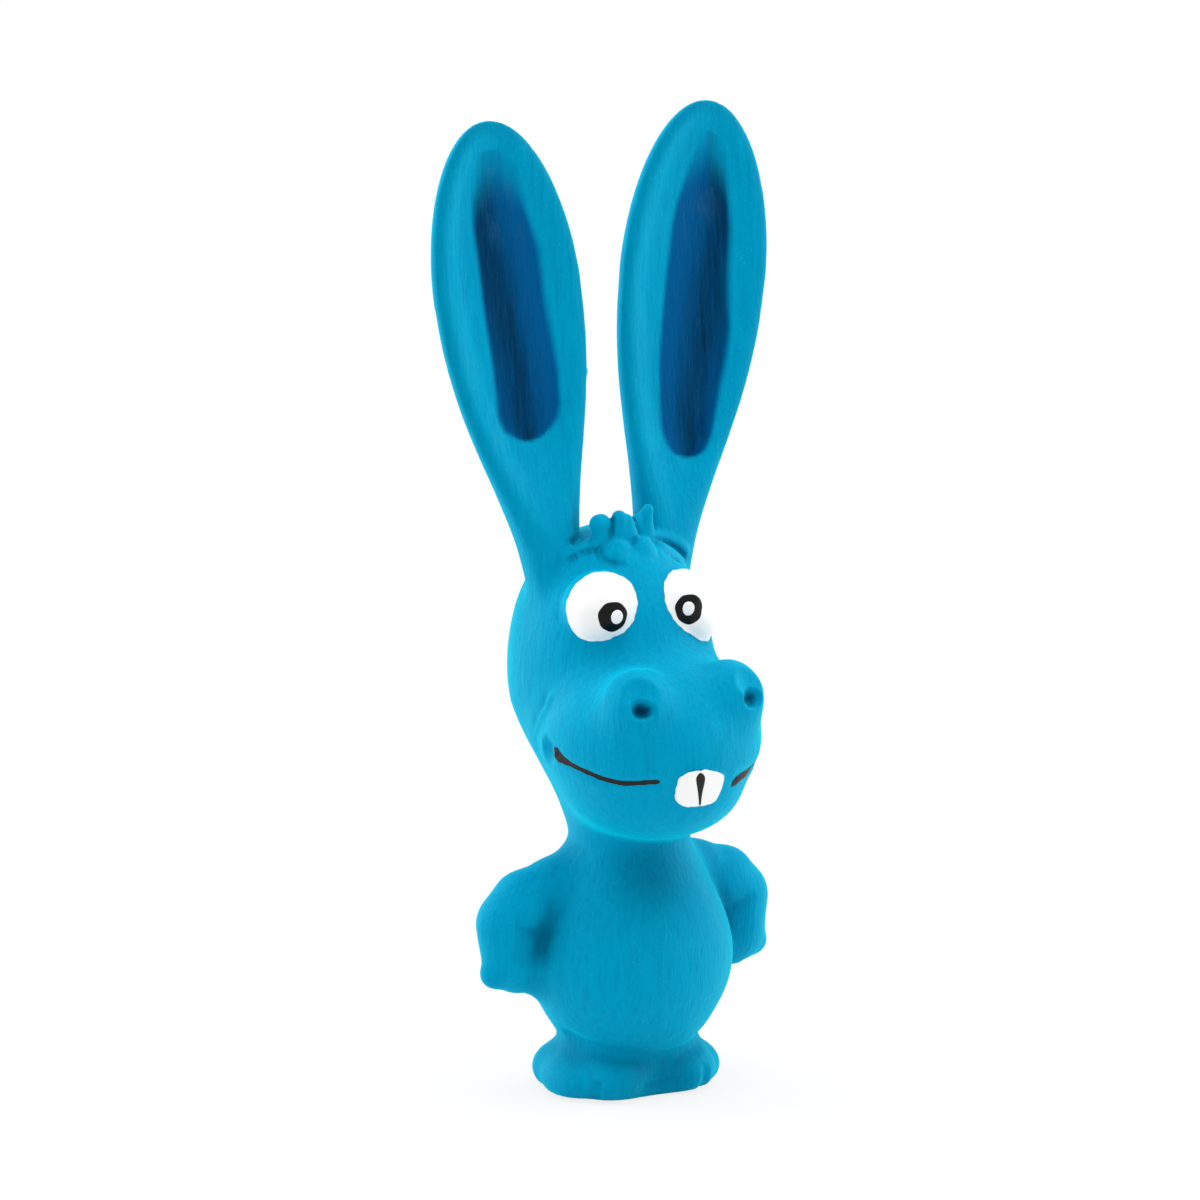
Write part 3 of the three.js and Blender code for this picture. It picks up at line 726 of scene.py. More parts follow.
class Shader:
    """A node tree under construction for one material."""

    def __init__(self, name: str) -> None:
        """Starts a material with a Principled surface.

        Args:
            name: The material's name.
        """
        self.material = bpy.data.materials.new(name)
        self.material.use_nodes = True
        self.tree = self.material.node_tree
        self.surface = self.tree.nodes["Principled BSDF"]
        self.coords = self.add("TexCoord").outputs["Object"]

    def put(self, socket: str, value: object) -> None:
        """Sets a socket of the surface, or links it to another node's output."""
        fill_socket(self.tree, self.surface.inputs[socket], value)

    def add(
        self, kind: str, inputs: dict[str | int, object] | None = None, **settings: object
    ) -> bpy.types.Node:
        """Adds a node to the material, as add_node does."""
        return add_node(self.tree, kind, inputs, **settings)

    def noise(
        self, scale: tuple[float, float, float], detail: float = 2.0,
        turn: tuple[float, float, float] = (0, 0, 0), rough: float = 0.5, warp: float = 0.0,
    ) -> bpy.types.NodeSocket:
        """Adds noise over the object's own coordinates.

        Args:
            scale: How many patches there are to a metre, along each axis.
            detail: How many finer layers it has.
            turn: How the pattern is turned, in degrees.
            rough: How strong the finer layers are.
            warp: How far the pattern is distorted.

        Returns:
            The noise, from 0 to 1 and about a half on average.
        """
        angles = tuple(math.radians(angle) for angle in turn)
        mapping = {"Scale": scale, "Rotation": angles, "Vector": self.coords}
        place = self.add("Mapping", mapping).outputs["Vector"]
        layers = {"Scale": 1.0, "Detail": detail, "Roughness": rough, "Distortion": warp}
        return self.add("TexNoise", {**layers, "Vector": place}).outputs[0]

    def number(self, name: str) -> bpy.types.NodeSocket:
        """Reads a number that the mesh stores at its points."""
        return self.add("Attribute", attribute_name=name).outputs["Fac"]

    def span(
        self, value: bpy.types.NodeSocket, low: float, high: float, to_low: float = 0.0, to_high: float = 1.0
    ) -> bpy.types.NodeSocket:
        """Maps a range to another, and holds its ends.

        Args:
            value: What is mapped.
            low: The range's start.
            high: The range's end.
            to_low: What the start becomes.
            to_high: What the end becomes.

        Returns:
            The mapped value.
        """
        ends = {"From Min": low, "From Max": high, "To Min": to_low, "To Max": to_high}
        return self.add("MapRange", {**ends, "Value": value}).outputs["Result"]

    def times(self, a: object, b: object) -> bpy.types.NodeSocket:
        """Multiplies two numbers."""
        return self.add("Math", {0: a, 1: b}, operation="MULTIPLY").outputs[0]

    def blend(self, share: object, first: object, second: object) -> bpy.types.NodeSocket:
        """Blends two colours.

        Args:
            share: 0 for the first colour and 1 for the second.
            first: A colour, or an output.
            second: A colour, or an output.

        Returns:
            The blended colour.
        """
        first, second = (
            (*colour, 1.0) if isinstance(colour, tuple) else colour for colour in (first, second)
        )
        return self.add("Mix", {0: share, 6: first, 7: second}, data_type="RGBA").outputs[2]

    def bump(self, height: bpy.types.NodeSocket, distance: float) -> None:
        """Roughens the surface by a height, over any bump it already has.

        Args:
            height: The height, from 0 to 1.
            distance: What a height of 1 stands for, in metres.
        """
        node = self.add("Bump", {"Strength": 1.0, "Distance": distance, "Height": height})
        before = self.surface.inputs["Normal"]
        if before.is_linked:
            self.tree.links.new(before.links[0].from_socket, node.inputs["Normal"])
        self.tree.links.new(node.outputs["Normal"], before)


@dataclass(frozen=True)
class BlueLatex:
    """Matt blue dipped latex: brushed streaks, short scratches and chalky specks, with shade painted darker
    into its creases and holes.
    """

    slot: str = "blue_latex"
    body: tuple[float, float, float] = (0.0, 0.29, 0.5)
    pale: tuple[float, float, float] = (0.0, 0.33, 0.545)
    deep: tuple[float, float, float] = (0.0, 0.215, 0.4)
    bloom: tuple[float, float, float] = (0.12, 0.46, 0.66)
    # Near-black blue that is painted into creases and holes, and onto the painted shadow spots, as shade.
    painted_shade: tuple[float, float, float] = (0.0, 0.022, 0.07)
    roughness: tuple[float, float] = (0.6, 0.78)
    patchy: float = 0.6
    streaked: float = 0.62
    scratched: float = 0.5
    specked: float = 0.22
    depths: tuple[float, float, float] = (0.00015, 0.00012, 0.00007)

    def streaks(self, shader: Shader) -> bpy.types.NodeSocket:
        """Noise in long upright streaks, as a brush leaves them."""
        return shader.noise((900.0, 900.0, 85.0), 4.0, rough=0.65)

    def scratches(self, shader: Shader) -> bpy.types.NodeSocket:
        """Noise in short slanting scratches."""
        return shader.noise((1400.0, 1400.0, 300.0), 2.0, (38.0, 27.0, 0.0))

    def colour(self, shader: Shader) -> bpy.types.NodeSocket:
        """The latex's colour with its streaks and patches, and the shade painted into its creases, holes and
        shadowed spots.

        Args:
            shader: The material under construction.

        Returns:
            The colour.
        """
        patches = shader.span(shader.noise((60.0, 60.0, 40.0), 4.0), 0.3, 0.7)
        streaks = shader.span(self.streaks(shader), 0.46, 0.78)
        scratches = shader.span(self.scratches(shader), 0.66, 0.8)
        specks = shader.span(shader.noise((2300.0, 2300.0, 1900.0), 1.0), 0.68, 0.8)
        colour = self.body
        for where, share, second in (
            (patches, self.patchy, self.pale), (streaks, self.streaked, self.deep),
            (scratches, self.scratched, self.deep), (specks, self.specked, self.bloom),
        ):
            colour = shader.blend(shader.times(where, share), colour, second)
        # Paints shade into creases, holes and shadowed spots, by the number that the skin stores at its
        # points.
        return shader.blend(shader.number("painted_shade"), colour, self.painted_shade)

    def relief(self, shader: Shader) -> None:
        """Gives the latex its streaked and slightly chalky surface."""
        chalk = shader.noise((2600.0, 2600.0, 1800.0), 2.0)
        for height, depth in zip((self.streaks(shader), self.scratches(shader), chalk), self.depths):
            shader.bump(height, depth)
        wear = shader.noise((150.0, 150.0, 60.0), 2.0)
        shader.put("Roughness", shader.span(wear, 0.3, 0.7, *self.roughness))

    def gloss(self, shader: Shader) -> None:
        """Sets how the latex takes light at its edges."""
        shader.put("Specular IOR Level", 0.14)
        shader.put("Specular Tint", (0.0, 0.7, 1.0, 1.0))
        shader.put("Sheen Weight", 1.0)
        shader.put("Sheen Roughness", 0.4)
        shader.put("Sheen Tint", (0.0, 0.8, 1.0, 1.0))

    def material(self) -> bpy.types.Material:
        """The finish as a material."""
        shader = Shader("blue_latex")
        shader.put("Base Color", self.colour(shader))
        self.relief(shader)
        self.gloss(shader)
        return shader.material


@dataclass(frozen=True)
class EarStain:
    """Dark blue latex brushed thinly over the blue, with streaks and a soft upper end."""

    slot: str = "dark_blue_latex"
    dark: tuple[float, float, float] = (0.0, 0.01, 0.05)
    light: tuple[float, float, float] = (0.0, 0.078, 0.25)
    violet: tuple[float, float, float] = (0.018, 0.075, 0.19)
    base: BlueLatex = BlueLatex()

    def material(self) -> bpy.types.Material:
        """The finish as a material."""
        shader = Shader("ear_stain")
        streaks = shader.span(shader.noise((700.0, 700.0, 48.0), 4.0, rough=0.65), 0.32, 0.7)
        mottle = shader.span(shader.noise((330.0, 330.0, 120.0), 4.0, rough=0.7), 0.5, 0.72)
        stain = shader.blend(shader.number("dark"), self.light, self.dark)
        stain = shader.blend(shader.times(streaks, 0.4), stain, self.light)
        haze = shader.times(shader.times(mottle, shader.number("haze")), 0.75)
        stain = shader.blend(haze, stain, self.violet)
        shader.put("Base Color", shader.blend(shader.number("cover"), self.base.colour(shader), stain))
        self.base.relief(shader)
        self.base.gloss(shader)
        return shader.material


@dataclass(frozen=True)
class BrushedPaint:
    """Latex paint laid on by brush, with faint strokes and a thin patch here and there."""

    name: str
    slot: str
    body: tuple[float, float, float]
    thin: tuple[float, float, float]
    roughness: float
    gloss: float
    thinness: float = 0.3

    def material(self) -> bpy.types.Material:
        """The finish as a material."""
        shader = Shader(self.name)
        strokes = shader.noise((900.0, 500.0, 260.0), 3.0, (20.0, 30.0, 15.0), 0.6)
        patch = shader.span(shader.noise((210.0, 210.0, 210.0), 3.0), 0.52, 0.78)
        shader.put("Base Color", shader.blend(shader.times(patch, self.thinness), self.body, self.thin))
        shader.bump(strokes, 0.00012)
        shader.put("Roughness", shader.span(strokes, 0.3, 0.7, self.roughness - 0.06, self.roughness + 0.08))
        shader.put("Specular IOR Level", self.gloss)
        return shader.material


@dataclass(frozen=True)
class MouldedPlastic:
    """White moulded polyethylene: waxy, with faint flow marks."""

    slot: str = "white_plastic"
    body: tuple[float, float, float] = (0.76, 0.76, 0.73)
    warm: tuple[float, float, float] = (0.68, 0.67, 0.62)

    def material(self) -> bpy.types.Material:
        """The finish as a material."""
        shader = Shader("moulded_plastic")
        flow = shader.noise((120.0, 120.0, 420.0), 3.0, warp=0.6)
        shader.put("Base Color", shader.blend(shader.span(flow, 0.35, 0.75), self.body, self.warm))
        shader.bump(shader.noise((3200.0, 3200.0, 3200.0), 2.0), 0.00002)
        shader.put("Roughness", shader.span(flow, 0.3, 0.7, 0.32, 0.46))
        shader.put("Subsurface Weight", 0.12)
        shader.put("Subsurface Scale", 0.002)
        return shader.material


@dataclass(frozen=True)
class RolledBrass:
    """Thin rolled brass strip with fine lengthwise rolling lines."""

    slot: str = "reed_brass"
    body: tuple[float, float, float] = (0.72, 0.5, 0.2)
    dull: tuple[float, float, float] = (0.5, 0.33, 0.13)

    def material(self) -> bpy.types.Material:
        """The finish as a material."""
        shader = Shader("rolled_brass")
        lines = shader.noise((5200.0, 5200.0, 240.0), 3.0)
        stain = shader.span(shader.noise((480.0, 480.0, 480.0), 3.0), 0.45, 0.75)
        shader.put("Base Color", shader.blend(stain, self.body, self.dull))
        shader.put("Metallic", 1.0)
        shader.bump(lines, 0.00001)
        shader.put("Roughness", shader.span(lines, 0.3, 0.7, 0.2, 0.36))
        return shader.material


BLUE = BlueLatex()
STAIN = EarStain()
WHITE_PAINT = BrushedPaint("white_paint", "white_latex", (0.88, 0.88, 0.87), (0.74, 0.8, 0.83), 0.36, 0.4)
BLACK_PAINT = BrushedPaint(
    "black_paint", "black_latex", (0.002, 0.002, 0.002), (0.008, 0.008, 0.008), 0.3, 0.16
)
LINE_PAINT = BrushedPaint(
    "line_paint", "black_latex", (0.012, 0.01, 0.01), (0.06, 0.045, 0.042), 0.45, 0.16, 0.5
)
PLASTIC = MouldedPlastic()
BRASS = RolledBrass()


def dress(
    obj: bpy.types.Object, material: bpy.types.Material, slot: str, body: str = TOY_BODY,
    nodes: tuple[str, ...] = (),
) -> None:
    """Gives a piece its finish and its place in the frame.

    Args:
        obj: The piece.
        material: Its material.
        slot: The record's slot that it takes its finish from. It is not used.
        body: The body that it rides on.
        nodes: The frame's nodes that it stands for.
    """
    obj.data.materials.clear()
    obj.data.materials.append(material)
    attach(obj, body)
    if nodes:
        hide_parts(*nodes)
    LOG.info("%s: %d points, rides on %s, stands for %s", obj.name, len(obj.data.vertices), body, list(nodes))


# The toy's sub-assemblies.


MUZZLE = Egg(spot(0, 9.2, 82.0), (24.8, 24.4, 20.0))
EYE_RADIUS = 8.5
# Where the eyeballs' centres lie.
EYES = {Hand.RIGHT: spot(-9.95, 4.4, 110.6), Hand.LEFT: spot(8.9, 5.0, 109.5)}


@dataclass
class Head:
    """The head's sizes: cranium, muzzle, jaw, nostrils and tuft."""

    neck_rise: float = 59.0
    neck_radius: float = 13.0
    nose_blend: float = 5.0
    nose_radius: float = 7.4
    cranium: Egg = Egg(spot(0, -8.8, 98.0), (22.2, 23.2, 28.8))
    muzzle: Egg = MUZZLE
    jaw: Egg = Egg(spot(0, 10.3, 71.0), (20.0, 19.4, 12.0))
    nose: np.ndarray = field(default_factory=lambda: spot(12.0, 23.6, 92.0))

    def eyeballs(self) -> tuple[Form, ...]:
        """The two eyeballs. The left one sags a little towards its cheek."""
        right, left = EYES[Hand.RIGHT], EYES[Hand.LEFT]
        sag = left + np.array([1.5, -0.5, -2.4])
        return ball(right, EYE_RADIUS), Rod(left, EYE_RADIUS, sag, 7.6)

    def skull(self) -> Form:
        """The head's form without its nose, eyeballs, hair and ears."""
        snout = Joined(2.4, (self.muzzle, self.jaw))
        return Joined(5.0, (Joined(8.0, (self.cranium, self.nape())), snout))

    def face(self) -> Form:
        """The head's form without its eyeballs, hair and ears."""
        return Joined(self.nose_blend, (self.skull(), Mirrored(ball(self.nose, self.nose_radius))))

    def nape(self) -> Rod:
        """The back of the head, from the neck upwards."""
        return Rod(spot(0, 0, self.neck_rise), self.neck_radius, spot(0, -6.5, 89.0), 20.5)

    def tuft(self) -> tuple[Form, ...]:
        """The three knobs of hair on the crown, the two locks on the forehead and the strand beside them."""
        round_knob = Joined(0.5, (
            bar((-6.6, 3.0, 124.5, 2.3), (-6.9, 2.7, 126.8, 1.9)),
            bar((-7.3, 2.6, 128.4, 2.15), (-6.8, 2.6, 128.5, 2.15)),
        ))
        sliver = bar((-4.6, 2.2, 125.0, 0.7), (-4.6, 2.2, 128.0, 0.45))
        stub = Joined(0.8, (
            bar((-2.8, 1.7, 125.0, 2.0), (-2.75, 1.6, 129.6, 1.65)),
            bar((-0.9, 1.6, 128.8, 1.5), (-0.5, 1.5, 125.4, 2.25)),
        ))
        horn = Joined(1.4, (
            bar((5.2, 2.4, 130.8, 0.85), (4.6, 3.0, 125.0, 2.3)),
            bar((5.1, 2.4, 130.6, 0.8), (1.9, 2.6, 128.3, 0.9)),
            bar((2.0, 2.7, 128.2, 0.9), (3.0, 3.2, 125.0, 1.8)),
        ))
        locks = Joined(0.5, (
            bar((-3.9, 1.6, 121.6, 4.1), (-4.3, 0.9, 120.6, 3.9)),
            bar((2.2, 1.2, 121.8, 3.5), (2.4, 0.5, 121.0, 3.3)),
        ))
        strand = bar((-7.4, 3.6, 123.2, 2.4), (-12.6, 7.2, 120.4, 1.7))
        return Joined(0.35, (round_knob, sliver, stub, horn)), locks, strand

    def form(self) -> Form:
        """The whole head's form, without its ears and marks."""
        eyed = Joined(0.8, (self.face(), *self.eyeballs()))
        knobs, locks, strand = self.tuft()
        return Joined(0.5, (Joined(1.2, (Joined(0.7, (eyed, locks)), strand)), knobs))

    def clay(self, clay: Clay) -> None:
        """Adds the head's rough lumps to the clay."""
        for egg in (self.cranium, self.muzzle, self.jaw):
            clay.egg(egg.centre, egg.halves, 4)
        nape = self.nape()
        clay.rod(nape.start, nape.start_radius, nape.end, nape.end_radius)
        for side in (1, -1):
            clay.egg(self.nose * np.array([side, 1, 1]), (self.nose_radius,) * 3)
        for centre in EYES.values():
            clay.egg(centre, (EYE_RADIUS,) * 3)
        for start, end, radius in (
            ((-6.6, 3.0, 124.0), (-7.0, 2.6, 128.4), 2.2), ((-2.8, 1.7, 124.0), (-2.8, 1.6, 129.6), 1.8),
            ((-0.5, 1.5, 124.8), (-0.9, 1.6, 128.6), 1.8), ((4.8, 3.0, 124.0), (5.2, 2.4, 130.5), 1.5),
            ((3.0, 3.0, 124.0), (2.2, 2.6, 128.0), 1.5), ((2.2, 2.6, 128.2), (4.8, 2.4, 130.3), 1.1),
        ):
            clay.rod(np.array(start), radius + 0.2, np.array(end), radius - 0.1)

    def nostrils(self) -> tuple[Mark, ...]:
        """The two nostril holes, wider than they are high. Shade is painted into them as well."""
        holes = (Dimple((14.3, -28.2, 92.6), 1.3, 2.9, 5.0), Dimple((13.2, -28.6, 92.3), 0.8, 2.4, 3.0))
        return tuple(BothSides(mark) for mark in holes)

    def hair_marks(self) -> tuple[Mark, ...]:
        """The creases and ridges round the locks of hair on the forehead."""
        return (
            Crease(((-5.2, 1.7, 125.4), (-6.7, 1.6, 123.9), (-7.9, 1.3, 122.4), (-8.2, -0.4, 121.0),
                    (-7.2, -2.2, 120.2), (-5.4, -3.4, 119.8), (-3.4, -3.8, 120.2)), 0.65, 1.0, 0.15),
            Crease(((0.2, 0.9, 125.4), (-0.4, -1.0, 124.4), (-0.9, -2.6, 123.2), (-1.2, -3.9, 121.4)),
                   0.6, 0.9, 0.2),
            Crease(((5.6, 1.6, 124.8), (6.1, 0.2, 123.4), (5.8, -1.8, 121.8), (4.4, -3.6, 120.8),
                    (2.0, -4.2, 120.6)), 0.6, 0.9, 0.2),
            Crease(((-7.6, 2.0, 123.2), (-9.3, 3.3, 122.4), (-11.2, 4.6, 121.4), (-14.2, 6.4, 119.4)),
                   0.75, 1.0, 0.2),
            Crease(((-8.4, 4.0, 125.6), (-10.4, 6.6, 124.5), (-13.0, 8.0, 122.8), (-15.2, 8.8, 121.0)),
                   0.8, 0.7, 0.3),
            Crease(((7.0, 4.4, 124.8), (9.8, 6.2, 124.0), (12.5, 6.7, 122.8), (15.7, 6.3, 121.0),
                    (18.4, 6.6, 118.2)), 1.1, -1.1, 0.15),
            Crease(((6.6, 2.9, 124.0), (9.4, 4.4, 122.9), (12.7, 5.4, 121.3), (15.2, 5.6, 119.7),
                    (17.4, 6.0, 117.2)), 0.7, 1.0, 0.2),
            Crease(((6.4, 1.0, 123.4), (8.8, 1.8, 122.3), (11.6, 3.2, 120.6), (14.6, 4.6, 118.4),
                    (16.4, 5.4, 116.6)), 1.0, -0.9, 0.2),
            Crease(((6.6, -1.2, 121.8), (8.8, -0.6, 120.6), (11.4, 1.0, 118.8), (13.8, 2.8, 116.8)),
                   0.8, 0.7, 0.25),
        )

    def marks(self) -> tuple[Mark, ...]:
        """The marks pressed into the face."""
        both = [
            Crease(((8.6, -29.0, 75.4), (11.8, -27.5, 75.6), (16.4, -23.7, 75.6), (20.0, -19.8, 76.5),
                    (22.5, -15.7, 77.9), (24.0, -11.5, 79.4), (24.7, -7.6, 81.4)), 0.9, 0.55, 0.08),
            Crease(((20.8, -2.2, 94.6), (21.9, -0.2, 92.1), (22.7, 0.8, 89.4), (23.0, 3.0, 86.4),
                    (22.2, 6.2, 82.7), (21.0, 8.4, 79.7), (20.3, 8.2, 77.1), (20.4, 5.6, 74.8)),
                   1.0, 0.55, 0.25),
            Crease(((21.2, -3.6, 94.6), (22.2, -1.8, 92.1), (23.0, -1.0, 89.4), (23.4, 1.0, 86.6),
                    (22.8, 4.2, 82.7), (21.6, 6.4, 79.7), (20.9, 6.0, 77.1), (21.0, 3.4, 75.0)),
                   1.0, -0.45, 0.25),
            Dimple((24.4, -4.6, 80.6), 0.4, 3.8, 2.6),
            Dimple((14.0, -27.4, 96.0), 0.8, 4.6, 2.2),
            Crease(((18.9, -22.8, 92.6), (17.9, -21.0, 95.7), (15.5, -20.6, 97.9), (12.6, -20.6, 99.0),
                    (8.4, -21.0, 98.6), (5.6, -22.2, 96.8)), 1.5, -0.6, 0.25),
        ]
        return (*(BothSides(mark) for mark in both), *self.nostrils(), *self.hair_marks())


@dataclass
class Teeth:
    """The block of two front teeth: its outline in degrees of turn and tilt round the muzzle's centre."""

    middle: tuple[float, float] = (-1.8, -19.0)
    proud: float = 0.9
    outline: tuple[tuple[float, float], ...] = (
        (-15.2, -10.6), (-12.0, -9.3), (-8.2, -8.4), (-4.4, -8.1), (1.5, -8.7), (6.9, -10.6), (11.2, -12.5),
        (12.2, -16.3), (12.6, -19.5), (12.3, -23.8), (10.6, -27.6), (5.0, -29.2), (-0.5, -29.4),
        (-5.3, -29.3), (-11.6, -28.2), (-15.4, -25.2), (-16.8, -21.4), (-16.0, -16.0), (-15.6, -12.9),
    )

    def reach(self, angle: np.ndarray) -> np.ndarray:
        """How many degrees the outline lies from its middle, at angles round it."""
        rows = np.array(self.outline) - np.array(self.middle)
        around = np.arctan2(rows[:, 1], rows[:, 0])
        order = np.argsort(around)
        return np.interp(angle, around[order], np.hypot(rows[:, 0], rows[:, 1])[order], period=2 * math.pi)

    def share(self, points: np.ndarray) -> np.ndarray:
        """How far out each point lies in the teeth's outline: 1 on the outline itself."""
        p = points - MUZZLE.centre
        turn = np.degrees(np.arctan2(p[:, 0], -p[:, 1])) - self.middle[0]
        tilt = np.degrees(np.arcsin(p[:, 2] / np.maximum(np.linalg.norm(p, axis=1), 1e-6))) - self.middle[1]
        return np.hypot(turn, tilt) / self.reach(np.arctan2(tilt, turn))


@dataclass(frozen=True)
class ToothBlock(Mark):
    """The raised block of the two teeth."""

    teeth: Teeth

    def depth(self, points: np.ndarray) -> np.ndarray:
        """How far the block stands proud at each point, as a negative depth."""
        front = points[:, 1] < MUZZLE.centre[1]
        return -self.teeth.proud * ramp(1.12, 0.96, self.teeth.share(points)) * front


@dataclass
class Trunk:
    """The trunk's sizes: belly, chest, arms and feet."""

    belly: Egg = Egg(spot(0, 0.5, 30.5), (23.8, 20.5, 22.5))
    web: Egg = Egg(spot(21.5, -3.2, 36.5), (9.0, 5.4, 12.0))
    set_out: dict[Hand, float] = field(default_factory=lambda: {Hand.LEFT: 1.6, Hand.RIGHT: 0.0})

    def torso(self) -> Form:
        """The belly, chest and base."""
        chest = Rod(spot(0, 0, 43), 15.5, spot(0, 0, 59), 13.0)
        base = Rod(spot(0, 0, 0), 12.5, spot(0, 0, 43), 12.5)
        return Joined(9.0, (self.belly, chest, base))

    def feet(self) -> Form:
        """Both feet, each of two toes and a heel."""
        inner = Egg(spot(9, 5.2, 4.4), (8.6, 9.8, 6.2))
        outer = Egg(spot(14.4, 0.6, 4.0), (7.0, 9.4, 5.6))
        heel = Egg(spot(9, -6.8, 4.2), (10.6, 10.4, 6.8))
        return Mirrored(Joined(1.6, (inner, outer, heel)))

    def arm_path(self, hand: Hand) -> list[tuple[np.ndarray, float]]:
        """The balls that a bent arm runs through, from the chest to the hand, as if it were the left one."""
        rows = (
            (8.0, -2.0, 48.8, 8.0), (17.0, -3.0, 45.8, 7.9), (24.6, -3.8, 43.4, 7.8), (28.0, -4.0, 39.6, 7.8),
            (27.8, -3.8, 35.5, 7.4), (28.2, -3.2, 31.4, 6.8),
        )
        out = self.set_out[hand]
        return [
            (spot(side + out * min(1.0, side / 24.0), front, rise), radius)
            for side, front, rise, radius in rows
        ]

    def arm(self, hand: Hand) -> Form:
        """One bent arm with its web and mitten hand, as if it were the left one."""
        path = self.arm_path(hand)
        limbs = tuple(Rod(a, ra, b, rb) for (a, ra), (b, rb) in zip(path, path[1:]))
        out = self.set_out[hand]
        fingers = (
            Rod(spot(28.4 + out, -3.2, 30.5), 5.2, spot(26.8 + out, -3.0, 28.6), 4.6),
            Rod(spot(25.0 + out, -3.2, 31.5), 4.6, spot(22.6 + out, -3.0, 28.2), 4.4),
            Rod(spot(31.0 + out, -3.2, 31.0), 4.4, spot(32.6 + out, -3.2, 28.9), 3.4),
        )
        whole = Joined(1.4, (*limbs, *fingers))
        return Joined(3.2, (Flattened(whole, FRONT_SHIFT + 3.6, 0.85), self.web))

    def form(self) -> Form:
        """The whole trunk's form, without its marks."""
        standing = Joined(4.6, (self.torso(), self.feet()))
        left = Near(self.arm(Hand.LEFT), (-2, -20, 12), (48, 24, 66))
        right = Near(Flipped(self.arm(Hand.RIGHT)), (-48, -20, 12), (2, 24, 66))
        return Joined(3.6, (standing, left, right))

    def clay(self, clay: Clay) -> None:
        """Adds the trunk's rough lumps to the clay."""
        clay.egg(self.belly.centre, self.belly.halves, 4)
        clay.rod(spot(0, 0, 43), 15.5, spot(0, 0, 62), 13.0)
        clay.rod(spot(0, 0, 12.5), 12.5, spot(0, 0, 43), 12.5)
        clay.egg(spot(0, 0, 6), (12.0, 12.0, 6.0))
        for hand in Hand:
            flip = np.array([hand.value, 1, 1])
            for centre, halves in (
                (spot(9, 5.2, 5.4), (8.6, 10.0, 5.6)), (spot(14.7, 0.6, 5.6), (7.2, 9.6, 5.8)),
                (spot(9, -6.8, 5.6), (10.8, 10.5, 5.8)), (self.web.centre, self.web.halves),
                (spot(29 + self.set_out[hand], -3.2, 28.8), (7.0, 4.4, 4.4)),
            ):
                clay.egg(centre * flip, halves)
            path = self.arm_path(hand)
            for (a, ra), (b, rb) in zip(path, path[1:]):
                clay.rod(a * flip, ra * 0.88, b * flip, rb * 0.88)

    def marks(self) -> tuple[Mark, ...]:
        """The marks pressed into the arms and feet."""
        both = [
            Crease(((16.8, -2.0, 53.0), (19.4, -1.6, 48.1), (20.7, -0.2, 42.9), (22.2, 0.8, 37.8),
                    (23.4, 1.6, 33.2), (24.6, 1.8, 29.0)), 3.0, 0.8, 0.25),
            Crease(((32.0, 0.2, 40.4), (29.4, -0.4, 39.8), (26.0, 0.2, 39.0), (23.0, 1.4, 39.6)),
                   1.5, 0.6, 0.35),
            Dimple((25.6, -0.4, 35.6), 1.0, 6.4, 0.7),
            Crease(((31.8, 0.2, 32.8), (29.3, -0.6, 32.5), (25.6, 0.2, 32.1)), 1.2, 0.3, 0.35),
            Crease(((32.4, -0.6, 28.4), (31.9, -0.4, 26.6), (31.4, 0.8, 24.8), (31.0, 4.0, 24.2)),
                   0.6, 1.3, 0.12),
            Crease(((18.3, 1.0, 15.6), (16.0, -4.0, 13.2), (13.0, -7.8, 11.8), (9.6, -10.6, 10.6),
                    (5.2, -12.0, 9.9), (0.2, -12.3, 9.8), (-5.2, -12.0, 9.9)), 1.6, 1.4, 0.12),
        ]
        return (
            *(BothSides(mark) for mark in both),
            Crease(((-15.3, -5.2, -1.6), (-15.3, -8.4, 0.6), (-15.2, -10.0, 2.6), (-15.0, -10.3, 5.6)),
                   0.85, 2.4, 0.1),
            Crease(((11.9, -8.2, -1.6), (11.8, -11.2, 0.8), (11.6, -12.8, 3.2), (11.8, -12.8, 6.8)),
                   0.9, 2.4, 0.1),
            Crease(((0.2, -16.4, -5.0), (0.2, -15.4, -1.0), (0.2, -14.0, 2.4), (0.2, -12.6, 5.4)),
                   3.6, 4.0, 0.12),
        )


EARS = {
    Hand.LEFT: EarBlade(root=(12.9, -9.0, 113.0), reach_side=15.6, span=107.4),
    Hand.RIGHT: EarBlade(span=105.9, half_width=18.2),
}


# Balls round the finest marks, each as its centre and radius, where the skin's faces are split once more.
FINE_PLACES = (
    (-1.0, 2.0, 125.0, 14.0), (12.0, 5.0, 120.5, 8.0), (-11.0, 5.0, 121.0, 6.0), (13.8, -27.5, 93.5, 7.0),
    (-13.8, -27.5, 93.5, 7.0), (24.4, -6.0, 80.6, 6.0), (-24.4, -6.0, 80.6, 6.0), (-15.0, -11.0, 2.5, 6.0),
    (11.4, -13.0, 2.5, 6.0), (31.5, 1.0, 25.5, 4.5), (-31.5, 1.0, 25.5, 4.5),
)

# Painted shadows: spots where the latex's colour is darkened further than the painted shade in its creases,
# to stand for the soft shadows on the chest, between the feet and in the hollows of the arms. Each is a
# centre, a reach and a strength.
PAINTED_SHADOWS = (
    ((-3.0, -15.0, 52.0), 8.5, 0.42), ((-5.5, -12.0, 6.2), 6.0, 0.3), ((3.5, -12.5, 6.2), 6.0, 0.3),
    ((-22.0, 0.5, 37.0), 6.0, 0.3), ((23.5, 0.5, 38.0), 5.0, 0.15),
)


